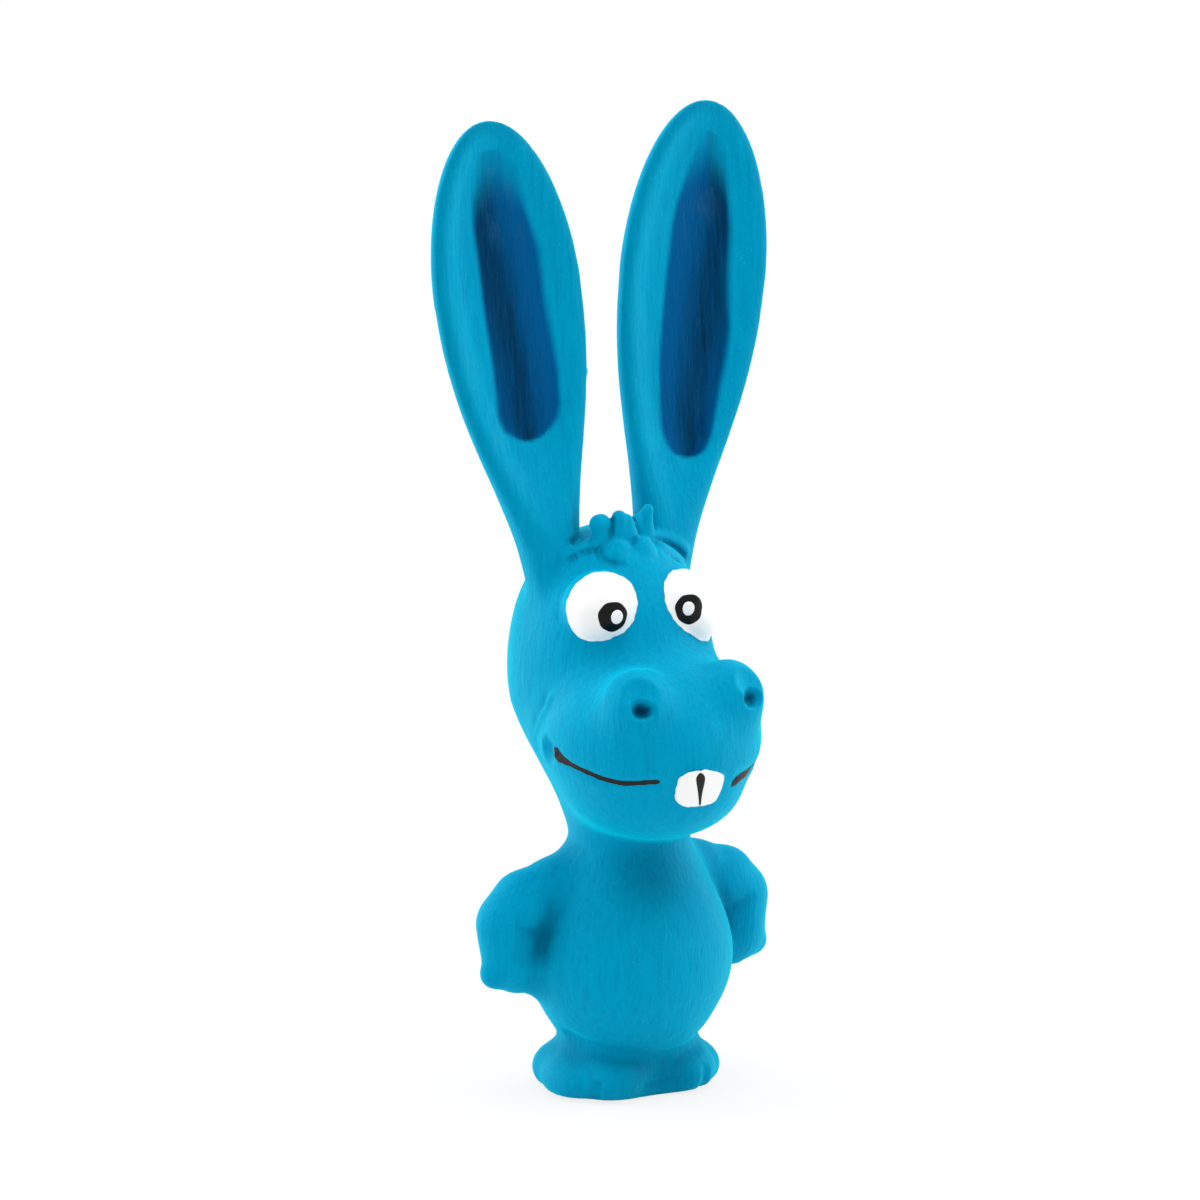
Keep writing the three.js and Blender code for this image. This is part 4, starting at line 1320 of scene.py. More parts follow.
@dataclass
class LatexSkin:
    """The one moulded piece of latex: head, ears, trunk, arms and feet, with a seat for its squeaker."""

    wall: float = 2.6
    base: float = 5.0
    flange_seat: tuple[float, float] = (7.95, 2.45)
    stem_seat: float = 5.95
    coarse: float = 1.1
    fine: float = 0.8
    # Probes for the painted shade: how far each reaches out from the surface, and how much it darkens.
    probes: tuple[tuple[float, float], ...] = ((1.0, 0.8), (2.4, 0.8), (4.5, 0.6))
    head: Head = field(default_factory=Head)
    trunk: Trunk = field(default_factory=Trunk)
    teeth: Teeth = field(default_factory=Teeth)
    ears: dict[Hand, EarBlade] = field(default_factory=lambda: dict(EARS))

    def nubs(self) -> Form:
        """The two specks of flash on the inner edge of the right ear, where its mould closed."""
        ear = self.ears[Hand.RIGHT]
        share = np.array([0.436, 0.218])
        a, b = ear.place(share, 0.1 - ear.flare(share), 0.0) * np.array([-1, 1, 1])
        return Joined(0.3, (ball(a, 0.75), ball(b, 0.65)))

    def form(self) -> Form:
        """The mould's whole form."""
        head = Near(self.head.form(), (-34, -42, 46), (34, 44, 142))
        trunk = Near(self.trunk.form(), (-50, -32, -10), (50, 34, 84))
        left = Near(self.ears[Hand.LEFT], (-6, -8, 96), (56, 40, 232))
        right = Near(Flipped(self.ears[Hand.RIGHT]), (-56, -8, 96), (6, 40, 232))
        nubs = Near(self.nubs(), (-12, 4, 130), (2, 22, 168))
        whole = Joined(0.8, (Joined(2.2, (Joined(1.6, (head, trunk)), left, right)), nubs))
        marks = (*self.head.marks(), *self.trunk.marks(), ToothBlock(self.teeth))
        return OnFloor(Marked(whole, marks), 1.6)

    def ear_clay(self, clay: Clay) -> None:
        """Adds both ears' rough lumps to the clay: a row of flat eggs in each, and balls along its rim."""
        share = np.linspace(-0.08, 0.95, 26)
        for hand, ear in self.ears.items():
            closing = ear.closing(share)
            width = ear.flare(share) * closing
            thinned = ramp(ear.dish_starts, ear.thinned, share)
            half = ear.half_thickness(share)
            lift = ear.cup * ramp(0.0, ear.widest, share) * closing + 0.5 * ear.dish * thinned
            thick = np.maximum(half - 0.5 * ear.dish * thinned, 2.2) * np.maximum(closing, 0.75)
            for k, centre in enumerate(ear.place(share, np.zeros(26), lift)):
                tall = 7.0 if share[k] < 0.88 else 4.0
                size = float(max(width[k] * 0.94, 3.0)), float(thick[k] + 0.3), tall
                clay.egg(centre * np.array([hand.value, 1, 1]), size)
            along = np.linspace(0.02, 0.99, 50)
            reach = ear.flare(along) * ear.closing(along)
            radii = np.minimum(2.9, 0.6 * reach + 0.8)
            for side in (1, -1):
                rim = ear.place(along, side * np.maximum(reach - radii - 0.2, 0.0), 0.3)
                for centre, radius in zip(rim, radii):
                    clay.egg(centre * np.array([hand.value, 1, 1]), (float(radius),) * 3, 2)

    def hollow(self) -> bmesh.types.BMesh:
        """The space inside the head and trunk, as the core of the mould."""
        clay = Clay()
        for egg, halves in (
            (self.head.cranium, (19.0, 20.0, 25.5)), (self.head.muzzle, (21.5, 21.0, 16.5)),
            (self.head.jaw, (17.0, 16.0, 9.0)), (self.trunk.belly, (20.5, 17.5, 19.5)),
        ):
            clay.egg(egg.centre, halves)
        clay.rod(spot(0, 0, 34), 11.0, spot(0, -5, 86), 15.0)
        clay.remesh(1.8)
        inside = Joined(3.0, (self.head.skull(), self.trunk.torso()))
        clay.set_points(inside.press(clay.points(), -self.wall, 6))
        for vert in clay.bm.verts:
            vert.co.z = max(vert.co.z, self.base)
        return clay.bm

    def cut(self, obj: bpy.types.Object, cutter: bmesh.types.BMesh) -> bpy.types.Object:
        """Cuts a shape out of the skin.

        Args:
            obj: The skin, in millimetres.
            cutter: What is cut out of it.

        Returns:
            The cut skin.
        """
        tool = as_object("cutter", cutter, 1.0)
        modifier = obj.modifiers.new("cut", "BOOLEAN")
        modifier.operation = "DIFFERENCE"
        modifier.solver = "MANIFOLD"
        modifier.object = tool
        bm = taken_back(obj)
        mesh = tool.data
        bpy.data.objects.remove(tool)
        bpy.data.meshes.remove(mesh)
        return as_object("skin", bm, 1.0)

    def seat(self) -> bmesh.types.BMesh:
        """The stepped hole that the squeaker sits in."""
        bm = bmesh.new()
        for radius, top in (self.flange_seat, (self.stem_seat, self.base + 1.5)):
            middle = Matrix.Translation((0.0, FRONT_SHIFT, (top - 2.0) / 2))
            bmesh.ops.create_cone(
                bm, cap_ends=True, segments=72, radius1=radius, radius2=radius, depth=top + 2.0, matrix=middle
            )
        return bm

    def painted_shading(self, bm: bmesh.types.BMesh, form: Form) -> np.ndarray:
        """How much shade is painted into the latex at each point, from 0 in the open to 1 in a deep crease or
        hole.

        Args:
            bm: The skin's mesh.
            form: The form that it was pressed onto.

        Returns:
            One number for each point.
        """
        bm.normal_update()
        points = np.array([v.co[:] for v in bm.verts], float)
        normals = np.array([v.normal[:] for v in bm.verts], float)
        shut = np.zeros(len(points))
        # Painted shade: the more latex lies just outside a point, the darker its colour is painted.
        for reach, share in self.probes:
            open_to = form.distance(points + normals * reach)
            shut += share * np.clip((reach * 0.97 - open_to) / reach, 0.0, 1.0)
        # Painted shade inside the nostril holes.
        holes = sum(np.maximum(mark.depth(points), 0.0) for mark in self.head.nostrils())
        # Painted shadows at a few fixed spots.
        shaded = sum(
            share * np.exp(-((np.linalg.norm(points - np.array(centre), axis=1) / reach) ** 2))
            for centre, reach, share in PAINTED_SHADOWS
        )
        return np.clip(0.66 * ramp(0.06, 1.9, shut) + ramp(0.7, 2.4, holes) + shaded, 0.0, 1.0)

    def build(self) -> Form:
        """Builds and dresses the skin.

        Returns:
            The form that its coats of paint lie on.
        """
        form = self.form()
        clay = Clay()
        self.head.clay(clay)
        self.trunk.clay(clay)
        self.ear_clay(clay)
        clay.remesh(self.coarse)
        clay.press(form, 8, 1)
        clay.remesh(self.fine)
        clay.press(form, 4, 2)
        clay.refine(FINE_PLACES)
        clay.press(form, 3, 1)
        skin = as_object("skin", clay.bm, 1.0)
        skin = self.cut(skin, self.hollow())
        skin = self.cut(skin, self.seat())
        bm = taken_back(skin)
        bmesh.ops.remove_doubles(bm, verts=bm.verts[:], dist=1e-4)
        painted_shading = self.painted_shading(bm, form)
        obj = as_object("latex_skin_moulded", bm, MM, 50.0)
        # Stores the painted shade for the latex's material to read.
        give_number(obj, "painted_shade", painted_shading)
        dress(obj, BLUE.material(), BLUE.slot, nodes=("latex_skin",))
        return form


@dataclass
class Coat:
    """A coat of paint on the skin: a thin closed film that thins out at its border."""

    form: Form
    low: float = 0.03
    high: float = 0.2
    border: float = 8.0
    thins: float = 0.7

    def build(
        self, columns: int, rows: int, place: Callable[[np.ndarray, np.ndarray], np.ndarray]
    ) -> tuple[bmesh.types.BMesh, np.ndarray, np.ndarray]:
        """Lays a grid on the skin and gives it a thickness.

        Args:
            columns: How many faces go across it.
            rows: How many faces go along it.
            place: Gives points near the skin from places across and along, each from -1 to 1.

        Returns:
            The mesh, and the places across and along of each of its points.
        """
        bm = bmesh.new()
        bmesh.ops.create_grid(bm, x_segments=columns, y_segments=rows, size=1.0)
        u = np.array([v.co.x for v in bm.verts])
        v = np.array([v.co.y for v in bm.verts])
        under = self.form.press(place(u, v), self.low, 7)
        border = np.maximum(np.abs(u), np.abs(v)) ** self.border
        top = self.form.press(under, self.high - (self.high - self.low) * self.thins * border, 3)
        flat = bm.verts[:]
        risen = bmesh.ops.extrude_face_region(bm, geom=bm.faces[:])["geom"]
        raised = [g for g in risen if isinstance(g, bmesh.types.BMVert)]
        order = {(round(vert.co.x, 5), round(vert.co.y, 5)): k for k, vert in enumerate(flat)}
        rows_of = [order[(round(vert.co.x, 5), round(vert.co.y, 5))] for vert in raised]
        for vert, k in zip(raised, rows_of):
            vert.co = top[k]
        for k, vert in enumerate(flat):
            vert.co = under[k]
        bmesh.ops.recalc_face_normals(bm, faces=bm.faces[:])
        where = {vert: k for k, vert in enumerate(flat)} | dict(zip(raised, rows_of))
        index = np.array([where[vert] for vert in bm.verts])
        return bm, u[index], v[index]


def in_disc(u: np.ndarray, v: np.ndarray) -> tuple[np.ndarray, np.ndarray]:
    """A square grid's places in a disc of radius 1."""
    return u * np.sqrt(1 - v * v / 2), v * np.sqrt(1 - u * u / 2)


@dataclass
class Eyes:
    """The painted eyes: a white coat over each eyeball, a black pupil and a white glint."""

    coat: Coat
    turn: float = 16.0
    tilt: float = 6.0
    spread: float = 76.0
    least: float = 30.0
    finest: float = 0.5
    steps: int = 97
    glint_spread: float = 9.2
    pupil_layer: tuple[float, float] = (0.18, 0.34)
    glint_layer: tuple[float, float] = (0.36, 0.5)
    faces: tuple[int, int, int] = (40, 24, 12)
    shy: dict[Hand, float] = field(default_factory=lambda: {Hand.RIGHT: -0.2, Hand.LEFT: -1.1})
    pupils: dict[Hand, tuple[float, float, float]] = field(
        default_factory=lambda: {Hand.RIGHT: (-10.5, -3.4, 3.3), Hand.LEFT: (-7.9, 4.2, 3.3)}
    )
    glints: dict[Hand, tuple[float, float]] = field(
        default_factory=lambda: {Hand.RIGHT: (-5.4, -3.4), Hand.LEFT: (-10.7, 5.4)}
    )

    def ray(self, hand: Hand, turn: float, tilt: float) -> Callable[[np.ndarray, np.ndarray], np.ndarray]:
        """The points of an eyeball round an axis.

        Args:
            hand: Which eye.
            turn: Where the axis faces, in degrees from the toy's front.
            tilt: How far it faces upwards, in degrees.

        Returns:
            What gives points on the eyeball from angles round the axis and away from it, in radians.
        """
        axis = heading(turn, tilt)
        side = np.cross(axis, (0.0, 0.0, 1.0))
        side /= np.linalg.norm(side)
        rise = np.cross(side, axis)

        def point(round_it: np.ndarray, angle: np.ndarray) -> np.ndarray:
            """Points on the eyeball."""
            flat = np.outer(np.cos(round_it), side) + np.outer(np.sin(round_it), rise)
            out = np.outer(np.cos(angle), axis) + flat * np.sin(angle)[:, None]
            return EYES[hand] + out * (EYE_RADIUS + 0.1)

        return point

    def patch(
        self, hand: Hand, turn: float, tilt: float, reach: Callable[[np.ndarray], np.ndarray]
    ) -> Callable[[np.ndarray, np.ndarray], np.ndarray]:
        """A round patch on an eyeball.

        Args:
            hand: Which eye.
            turn: Where its middle faces, in degrees from the toy's front.
            tilt: How far its middle faces upwards, in degrees.
            reach: How many degrees the patch reaches from its middle, from the angle round it.

        Returns:
            What gives the patch's points from places across and along it.
        """
        point = self.ray(hand, turn, tilt)

        def place(u: np.ndarray, v: np.ndarray) -> np.ndarray:
            """Points near the eyeball's surface."""
            a, b = in_disc(u, v)
            round_it = np.arctan2(b, a)
            return point(round_it, np.radians(np.hypot(a, b) * reach(round_it)))

        return place

    def white_reach(self, hand: Hand) -> Callable[[np.ndarray], np.ndarray]:
        """How far the white is brushed round an eyeball: up to the face, with the brush's ragged edge."""
        point = self.ray(hand, *self.middle(hand))
        face = Head().face()
        around = np.linspace(0.0, 2 * math.pi, self.steps)
        free = np.full(self.steps, float(self.spread))
        for degrees in np.arange(self.spread, self.least, -self.finest):
            buried = face.distance(point(around, np.full(self.steps, math.radians(degrees)))) < self.shy[hand]
            free = np.where(buried, np.minimum(free, degrees - self.finest), free)
        free[:-1] = (free[:-1] * 2 + np.roll(free[:-1], 1) + np.roll(free[:-1], -1)) / 4
        free[-1] = free[0]

        def reach(angle: np.ndarray) -> np.ndarray:
            """Degrees from the patch's middle at each angle round it."""
            base = np.interp(np.mod(angle, 2 * math.pi), around, free)
            ragged = 0.9 * np.sin(5 * angle + 1.0) + 0.8 * np.sin(11 * angle) + 0.6 * np.sin(23 * angle + 2.0)
            return base + ragged - 1.0

        return reach

    def middle(self, hand: Hand) -> tuple[float, float]:
        """Where the middle of an eye's white faces: its turn and its tilt."""
        return self.turn * hand.value, self.tilt

    def pupil_reach(self, radius: float) -> Callable[[np.ndarray], np.ndarray]:
        """How far a pupil reaches round its middle, a little unevenly."""
        spread = math.degrees(math.asin(radius / EYE_RADIUS))

        def reach(angle: np.ndarray) -> np.ndarray:
            """Degrees from the pupil's middle at each angle round it."""
            return spread * (1 + 0.02 * np.sin(3 * angle) + 0.015 * np.sin(7 * angle))

        return reach

    def glint_reach(self, angle: np.ndarray) -> np.ndarray:
        """How far a glint reaches round its middle: a little taller than wide."""
        return self.glint_spread * (1 + 0.12 * np.sin(angle) ** 2)

    def build(self) -> None:
        """Builds and dresses both eyes."""
        white, black = WHITE_PAINT.material(), BLACK_PAINT.material()
        over, top = Coat(self.coat.form, *self.pupil_layer), Coat(self.coat.form, *self.glint_layer)
        for hand in Hand:
            *pupil, radius = self.pupils[hand]
            patches = (
                (*self.middle(hand), self.white_reach(hand)), (*pupil, self.pupil_reach(radius)),
                (*self.glints[hand], self.glint_reach),
            )
            for (name, coat, paint, material), patch, faces in zip((
                ("eye_white", self.coat, WHITE_PAINT, white), ("pupil", over, BLACK_PAINT, black),
                ("eye_glint", top, WHITE_PAINT, white),
            ), patches, self.faces):
                bm, _, _ = coat.build(faces, faces, self.patch(hand, *patch))
                obj = as_object(f"{name}_coat_{hand.word}", bm)
                dress(obj, material, paint.slot, nodes=(f"{name}_{hand.word}",))


@dataclass
class Mouth:
    """The painted mouth: white on the teeth, the dark wedge between them and a line to each side."""

    coat: Coat
    teeth: Teeth = field(default_factory=Teeth)
    steps: int = 200
    wedge_steps: int = 60
    outside: float = 27.0
    tries: int = 40
    teeth_faces: tuple[int, int] = (30, 26)
    wedge_faces: tuple[int, int] = (6, 30)
    line_faces: tuple[int, int] = (90, 6)
    wedge: tuple[tuple[float, float, float], ...] = (
        (-4.2, -9.0, 0.8), (-3.7, -12.4, 1.12), (-3.0, -16.5, 0.9), (-2.0, -21.5, 0.55), (-0.6, -28.4, 0.24),
    )
    right_line: tuple[tuple[float, float, float, float], ...] = (
        (-9.8, -28.5, 76.0, 0.85), (-11.8, -27.4, 75.95, 0.72), (-13.6, -26.2, 75.7, 0.68),
        (-16.6, -23.5, 75.6, 0.68), (-18.5, -21.6, 76.0, 0.64), (-20.0, -19.8, 76.5, 0.66),
        (-21.3, -18.1, 77.1, 0.66), (-22.5, -15.7, 77.9, 0.62), (-23.4, -13.7, 78.5, 0.62),
        (-24.0, -11.6, 79.2, 0.85), (-24.4, -9.9, 79.9, 1.3), (-24.6, -8.6, 80.7, 1.5),
        (-24.7, -7.8, 81.7, 1.1),
    )
    left_line: tuple[tuple[float, float, float, float], ...] = (
        (8.9, -27.9, 73.5, 1.15), (10.6, -27.2, 74.1, 1.2), (12.7, -26.4, 74.8, 1.0),
        (15.9, -24.2, 75.6, 0.75), (20.2, -19.7, 76.7, 0.62), (23.0, -14.6, 78.4, 0.62),
        (24.2, -10.6, 79.9, 1.1), (24.7, -8.0, 81.6, 1.3),
    )

    def stroke(self, rows: tuple[tuple[float, float, float, float], ...]) -> Callable:
        """A brush stroke on the skin.

        Args:
            rows: Points along it, each with the stroke's half width there.

        Returns:
            What gives the stroke's points from places along and across it.
        """
        table = thread(np.array(rows, float), self.steps)
        form, last = self.coat.form, self.steps - 1

        def along_table(k: np.ndarray, columns: int) -> np.ndarray:
            """The table's first columns at rows that lie between its own."""
            return np.stack([np.interp(k, range(self.steps), table[:, c]) for c in range(columns)], 1)

        def place(u: np.ndarray, v: np.ndarray) -> np.ndarray:
            """Points near the skin under the stroke."""
            k = (u + 1) / 2 * last
            line = along_table(k, 4)
            ahead, behind = along_table(np.minimum(k + 2, last), 3), along_table(np.maximum(k - 2, 0), 3)
            centre = form.press(line[:, :3], 0.0, 6)
            along = ahead - behind
            along /= np.linalg.norm(along, axis=1, keepdims=True)
            _, out = form.slope(centre)
            across = np.cross(along, out)
            across /= np.linalg.norm(across, axis=1, keepdims=True)
            round_end = np.sqrt(np.maximum(0.02, 1 - np.maximum(0, np.abs(u) * 1.06 - 0.06) ** 16))
            uneven = 1 + 0.06 * np.sin(k * 0.31) + 0.04 * np.sin(k * 0.83 + 1)
            return centre + across * (v * line[:, 3] * round_end * uneven)[:, None]

        return place

    def on_teeth(self, u: np.ndarray, v: np.ndarray) -> np.ndarray:
        """Points near the front of the teeth's block."""
        a, b = in_disc(u, v)
        angle = np.arctan2(b, a)
        ragged = 1.0 + 0.012 * np.sin(9 * angle + 1) + 0.008 * np.sin(17 * angle)
        away = np.hypot(a, b) * self.teeth.reach(angle) * ragged
        turn, tilt = self.teeth.middle
        return self.at(turn + away * np.cos(angle), tilt + away * np.sin(angle))

    def at(self, turn: np.ndarray, tilt: np.ndarray) -> np.ndarray:
        """Points near the teeth at turns and tilts round the muzzle's centre."""
        directions = np.stack([heading(a, b) for a, b in zip(turn, tilt)])
        start = MUZZLE.centre + directions * self.outside
        for _ in range(self.tries):
            here = self.coat.form.distance(start)
            start -= directions * (here * 0.6)[:, None]
        return start

    def in_wedge(self, u: np.ndarray, v: np.ndarray) -> np.ndarray:
        """Points near the dark wedge between the teeth."""
        rows = thread(np.array(self.wedge), self.wedge_steps)
        k = (1 - v) / 2 * (self.wedge_steps - 1)
        turn, tilt, half = (np.interp(k, range(self.wedge_steps), rows[:, c]) for c in range(3))
        ends = np.sqrt(np.maximum(0.02, 1 - np.maximum(0.0, v - 0.55) ** 2 / 0.45**2))
        return self.at(turn + u * np.degrees(half * ends / 25.0), tilt)

    def build(self) -> None:
        """Builds and dresses the mouth's paint."""
        bm, _, _ = self.coat.build(*self.teeth_faces, self.on_teeth)
        dress(as_object("teeth_coat", bm), WHITE_PAINT.material(), WHITE_PAINT.slot, nodes=("teeth_paint",))
        line = LINE_PAINT.material()
        over = Coat(self.coat.form, low=0.18, high=0.32)
        bm, _, _ = over.build(*self.wedge_faces, self.in_wedge)
        dress(as_object("tooth_line_coat", bm), line, LINE_PAINT.slot, nodes=("tooth_line",))
        for hand, rows in ((Hand.RIGHT, self.right_line), (Hand.LEFT, self.left_line)):
            bm, _, _ = self.coat.build(*self.line_faces, self.stroke(rows))
            dress(
                as_object(f"mouth_line_coat_{hand.word}", bm), line, LINE_PAINT.slot,
                nodes=(f"mouth_line_{hand.word}",),
            )


# Each lining's outline: shares of the ear's length, with its inner and outer edge there in millimetres from
# the spine.
LINING_OUTLINES = {
    Hand.RIGHT: (
        (0.321, -1.0, 0.8), (0.327, -3.2, 2.6), (0.338, -5.2, 4.4), (0.356, -6.9, 6.1), (0.387, -8.1, 7.0),
        (0.454, -8.9, 6.8), (0.55, -9.1, 6.3), (0.657, -9.4, 6.1), (0.711, -9.3, 6.0), (0.751, -8.6, 5.9),
        (0.794, -7.6, 5.8), (0.844, -6.6, 5.2), (0.896, -5.2, 3.6), (0.935, -3.2, 2.0),
    ),
    Hand.LEFT: (
        (0.256, 1.4, 3.2), (0.262, -0.6, 5.0), (0.272, -1.8, 6.4), (0.288, -2.9, 7.4), (0.314, -4.3, 8.2),
        (0.368, -5.4, 8.8), (0.446, -6.2, 9.7), (0.53, -6.5, 10.3), (0.61, -6.3, 9.8), (0.67, -6.0, 9.3),
        (0.74, -6.0, 8.8), (0.785, -5.3, 8.0), (0.835, -4.0, 6.9), (0.886, -2.4, 5.1), (0.93, -0.6, 3.2),
    ),
}


@dataclass
class EarLining:
    """The dark stain brushed into one ear's dish, from a sharp lower end to a soft upper one."""

    hand: Hand
    coat: Coat
    faces: tuple[int, int] = (44, 130)
    fade: tuple[float, float] = (0.81, 0.985)
    darkest: tuple[float, float] = (0.6, 0.8)
    spread: float = 0.34
    margin: float = 2.0

    @property
    def ear(self) -> EarBlade:
        """The ear that the lining is brushed into."""
        return EARS[self.hand]

    @property
    def outline(self) -> tuple[tuple[float, float, float], ...]:
        """The lining's outline."""
        return LINING_OUTLINES[self.hand]

    def edges(self, share: np.ndarray) -> tuple[np.ndarray, np.ndarray]:
        """The lining's inner and outer edge at shares of the ear's length, in millimetres from its spine."""
        rows = np.array(self.outline)
        return np.interp(share, rows[:, 0], rows[:, 1]), np.interp(share, rows[:, 0], rows[:, 2])

    def place(self, u: np.ndarray, v: np.ndarray) -> np.ndarray:
        """Points near the ear's front."""
        share, side, _, _ = self.spread_out(u, v)
        points = self.ear.place(share, side, -2.0)
        points[:, 0] *= self.hand.value
        return points

    def spread_out(self, u: np.ndarray, v: np.ndarray) -> tuple[np.ndarray, ...]:
        """Where the lining's grid lies in the ear.

        Args:
            u: Places across it, from -1 to 1.
            v: Places along it, from -1 to 1.

        Returns:
            The share of the ear's length, the place across in millimetres, and both edges there.
        """
        low, high = self.outline[0][0] - 0.025, self.outline[-1][0] + 0.01
        share = low + (v + 1) / 2 * (high - low)
        inner, outer = self.edges(np.clip(share, self.outline[4][0], self.outline[-3][0]))
        middle, half = (inner + outer) / 2, (outer - inner) / 2 + self.margin
        return share, middle + u * half, *self.edges(share)

    def build(self) -> None:
        """Builds and dresses the lining."""
        bm, u, v = self.coat.build(*self.faces, self.place)
        share, side, inner, outer = self.spread_out(u, v)
        flat = np.stack([side, share * self.ear.span], 1)
        uneven = 0.2 * ripple(flat * np.array([1.0, 0.3]), 0.8, 4)
        inside = np.minimum(side - inner, outer - side)
        streak = ripple(flat * np.array([1.0, 0.06]), 1.5, 21)
        aside = (2 * side - inner - outer) / np.maximum(outer - inner, 0.5)
        top = ramp(self.fade[1], self.fade[0], share + 0.006 * streak + 0.05 * aside**2)
        above = (share - self.outline[0][0]) * self.ear.span
        cover = ramp(-0.8, 0.9, inside + uneven) * ramp(-0.5, 0.9, above + uneven) * top
        across = (side - inner) / np.maximum(outer - inner, 0.5)
        core = np.interp(share, (0.35, 0.75), self.darkest)
        dark = np.exp(-(((across + 0.03 * streak - core) / self.spread) ** 2))
        haze = ramp(0.66, 0.82, share) * ramp(0.0, 0.35, across) * ramp(0.95, 0.6, across)
        obj = as_object(f"ear_lining_coat_{self.hand.word}", bm)
        # The lining gets no painted shade.
        for name, values in (("cover", cover), ("dark", dark), ("haze", haze), ("painted_shade", np.zeros(len(u)))):
            give_number(obj, name, values)
        dress(obj, STAIN.material(), STAIN.slot, nodes=(f"ear_lining_{self.hand.word}",))


@dataclass
class Squeaker:
    """The plug squeaker in the base: a flanged barrel, its cap, and the reed clamped on its block."""

    recess: float = 0.8
    flange: tuple[float, float] = (7.6, 1.3)
    stem: float = 5.6
    snap: float = 6.9
    bore: float = 4.4
    vent: float = 1.4
    floor: float = 2.0
    snap_rise: float = 5.35
    top: float = 17.3
    cap_rise: float = 17.65
    ease: float = 0.22
    block_ease: float = 0.18
    reed_ease: float = 0.05
    spigot_gap: float = 0.35
    spigot_wall: float = 1.0
    spigot_deep: float = 1.6
    cap_thick: float = 1.2
    cap_hole: float = 1.5

    def barrel(self) -> bpy.types.Object:
        """The flanged barrel with rounded rims and the ridge that snaps into the base."""
        e = self.ease
        flange, thick = self.flange
        low, high = self.recess, self.recess + thick
        outline = [
            (self.vent + e, low), (flange - e, low), (flange, low + e), (flange, high - e),
            (flange - e, high), (self.stem, high), (self.stem, self.snap_rise),
            (self.snap - e, self.snap_rise), (self.snap, self.snap_rise + e),
            (self.stem, self.snap_rise + thick), (self.stem, self.top - e), (self.stem - e, self.top),
            (self.bore + e, self.top), (self.bore, self.top - e), (self.bore, self.floor + e),
            (self.bore - e, self.floor), (self.vent + e, self.floor), (self.vent, self.floor - e),
            (self.vent, low + e),
        ]
        return as_object("squeaker_barrel_moulded", turned(outline), MM, 35.0)

    def cap(self) -> bpy.types.Object:
        """The cap, with its spigot and the hole that lets the air in."""
        e = self.ease
        spigot, hole = self.bore - self.spigot_gap, self.cap_hole
        inner = spigot - self.spigot_wall
        low, high, end = self.cap_rise, self.cap_rise + self.cap_thick, self.top - self.spigot_deep
        outline = [
            (hole, high - e), (hole, low), (inner, low), (inner, end), (spigot - e, end), (spigot, end + e),
            (spigot, low), (self.stem - e, low), (self.stem, low + e), (self.stem, high - e),
            (self.stem - e, high), (hole + e, high),
        ]
        return as_object("squeaker_cap_moulded", turned(outline), MM, 35.0)

    def eased(self, node: str, width: float) -> bpy.types.Object:
        """A frame node's shape with its edges eased.

        Args:
            node: The node's name.
            width: How far its edges are rounded.

        Returns:
            The new piece.
        """
        bm = bmesh.new()
        bm.from_mesh(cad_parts[node].data)
        bmesh.ops.scale(bm, vec=Vector((1 / MM, 1 / MM, 1 / MM)), verts=bm.verts[:])
        bmesh.ops.remove_doubles(bm, verts=bm.verts[:], dist=1e-3)
        bmesh.ops.dissolve_limit(bm, angle_limit=math.radians(2.0), verts=bm.verts[:], edges=bm.edges[:])
        sharp = [e for e in bm.edges if len(e.link_faces) == 2 and e.calc_face_angle() > math.radians(40.0)]
        bmesh.ops.bevel(
            bm, geom=sharp, offset=width, affect="EDGES", segments=2, profile=0.5, material=-1,
            clamp_overlap=True,
        )
        bmesh.ops.remove_doubles(bm, verts=bm.verts[:], dist=1e-4)
        return as_object(f"{node}_eased", bm, MM, 35.0)

    def build(self) -> None:
        """Builds and dresses the squeaker's pieces."""
        plastic = PLASTIC.material()
        dress(self.barrel(), plastic, PLASTIC.slot, nodes=("squeaker_barrel",))
        dress(self.cap(), plastic, PLASTIC.slot, nodes=("squeaker_cap",))
        for node in ("reed_block", "reed_clamp"):
            dress(self.eased(node, self.block_ease), plastic, PLASTIC.slot, nodes=(node,))
        dress(self.eased("reed", self.reed_ease), BRASS.material(), BRASS.slot, REED_BODY, ("reed",))


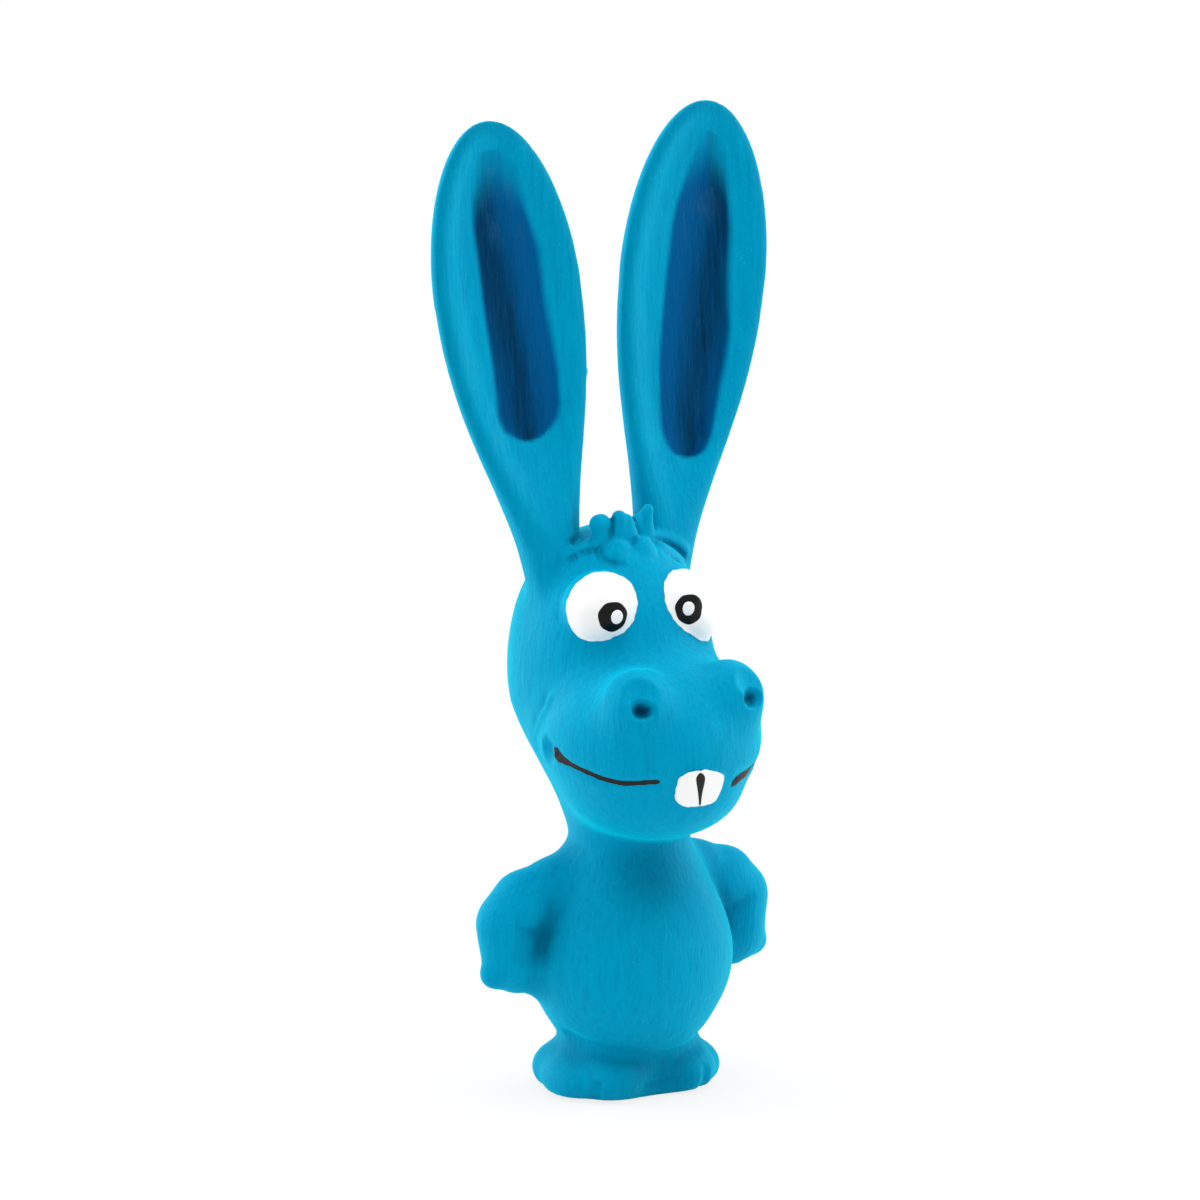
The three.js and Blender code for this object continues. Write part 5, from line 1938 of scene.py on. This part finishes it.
@dataclass
class Studio:
    """The white sweep, the soft lamps and the camera."""

    azimuth: float = -30.0
    elevation: float = 10.5
    distance: float = 1.6
    frame_width: float = 0.2694
    aim: tuple[float, float, float] = (0.00353, 0.0209, 0.1074)
    fill: float = 0.8
    lamp_size: float = 1.0
    lamps: tuple[tuple[str, tuple[float, float, float], float], ...] = (
        ("top", (-0.05, -0.09, 1.75), 14.0), ("left_rim", (-1.05, 1.18, 0.5), 12.0),
        ("right_rim", (1.55, -0.32, 0.5), 9.0),
    )

    def camera(self) -> None:
        """Creates the camera at the photograph's angle."""
        data = bpy.data.cameras.new("camera")
        data.sensor_width = 36.0
        data.lens = 36.0 * self.distance / self.frame_width
        data.clip_end = 50.0
        obj = bpy.data.objects.new("camera", data)
        bpy.context.scene.collection.objects.link(obj)
        back = Vector(heading(self.azimuth, self.elevation))
        obj.location = Vector(self.aim) + back * self.distance
        obj.rotation_euler = (-back).to_track_quat("-Z", "Y").to_euler()
        bpy.context.scene.camera = obj

    def world(self) -> None:
        """Lights the toy evenly from all round, before a white background."""
        world = bpy.data.worlds.new("studio")
        world.use_nodes = True
        bpy.context.scene.world = world
        tree = world.node_tree
        tree.nodes.clear()
        path = add_node(tree, "LightPath").outputs
        bent = add_node(
            tree, "Math", {0: path["Is Glossy Ray"], 1: path["Is Transmission Ray"]}, operation="MAXIMUM"
        ).outputs[0]
        seen = add_node(tree, "Math", {0: path["Is Camera Ray"], 1: bent}, operation="MAXIMUM").outputs[0]
        lit, white = (
            add_node(tree, "Background", {"Strength": strength, "Color": (1.0, 1.0, 1.0, 1.0)}).outputs[0]
            for strength in (self.fill, 1.0)
        )
        mix = add_node(tree, "MixShader", {0: seen, 1: lit, 2: white}).outputs[0]
        add_node(tree, "OutputWorld", {"Surface": mix})

    def lamp(self, name: str, place: tuple[float, float, float], watts: float) -> None:
        """Adds a square soft lamp that faces the toy.

        Args:
            name: The lamp's name.
            place: Where it stands, in metres.
            watts: Its power.
        """
        data = bpy.data.lights.new(name, "AREA")
        data.size = self.lamp_size
        data.energy = watts
        obj = bpy.data.objects.new(name, data)
        bpy.context.scene.collection.objects.link(obj)
        obj.location = place
        obj.rotation_euler = (Vector((0.0, 0.0, 0.11)) - Vector(place)).to_track_quat("-Z", "Y").to_euler()

    def floor(self) -> None:
        """Lays the white floor, which fills the background and keeps the toy's shadow."""
        bm = bmesh.new()
        bmesh.ops.create_grid(bm, x_segments=8, y_segments=8, size=14.0)
        obj = as_object("floor", bm, 1.0)
        obj.data.transform(Matrix.Translation((0.0, 0.0, -0.0002)))
        sweep = Shader("white_sweep")
        sweep.put("Base Color", (0.86, 0.86, 0.86, 1.0))
        sweep.put("Roughness", 0.9)
        sweep.put("Specular IOR Level", 0.0)
        away = sweep.add("VectorMath", {0: sweep.coords}, operation="LENGTH").outputs["Value"]
        ends = {"From Min": 0.05, "From Max": 0.2, "To Min": 0.82, "To Max": 1.0, "Value": away}
        glowing = sweep.add("MapRange", ends, interpolation_type="SMOOTHSTEP").outputs["Result"]
        share = sweep.times(sweep.add("LightPath").outputs["Is Camera Ray"], glowing)
        glow = sweep.add("Emission", {"Strength": 1.0}).outputs[0]
        mix = sweep.add("MixShader", {0: share, 1: sweep.surface.outputs[0], 2: glow}).outputs[0]
        sweep.tree.links.new(mix, sweep.tree.nodes["Material Output"].inputs["Surface"])
        obj.data.materials.append(sweep.material)

    def build(self) -> None:
        """Sets up the whole studio."""
        self.camera()
        self.world()
        self.floor()
        for name, place, watts in self.lamps:
            self.lamp(name, place, watts)
        bpy.context.scene.view_settings.view_transform = "Standard"
        LOG.info("studio: camera, world, floor and %d lamps", len(self.lamps))


def main() -> None:
    """Builds the toy, piece by piece, and the studio round it."""
    logging.basicConfig(level=logging.INFO, format="%(name)s %(message)s", stream=sys.stdout)
    form = LatexSkin().build()
    coat = Coat(form)
    Eyes(coat).build()
    Mouth(coat).build()
    for hand in (Hand.RIGHT, Hand.LEFT):
        EarLining(hand, Coat(form, low=-0.1, high=0.1, border=14.0, thins=0.9)).build()
    Squeaker().build()
    Studio().build()


if __name__ == "__main__":
    main()
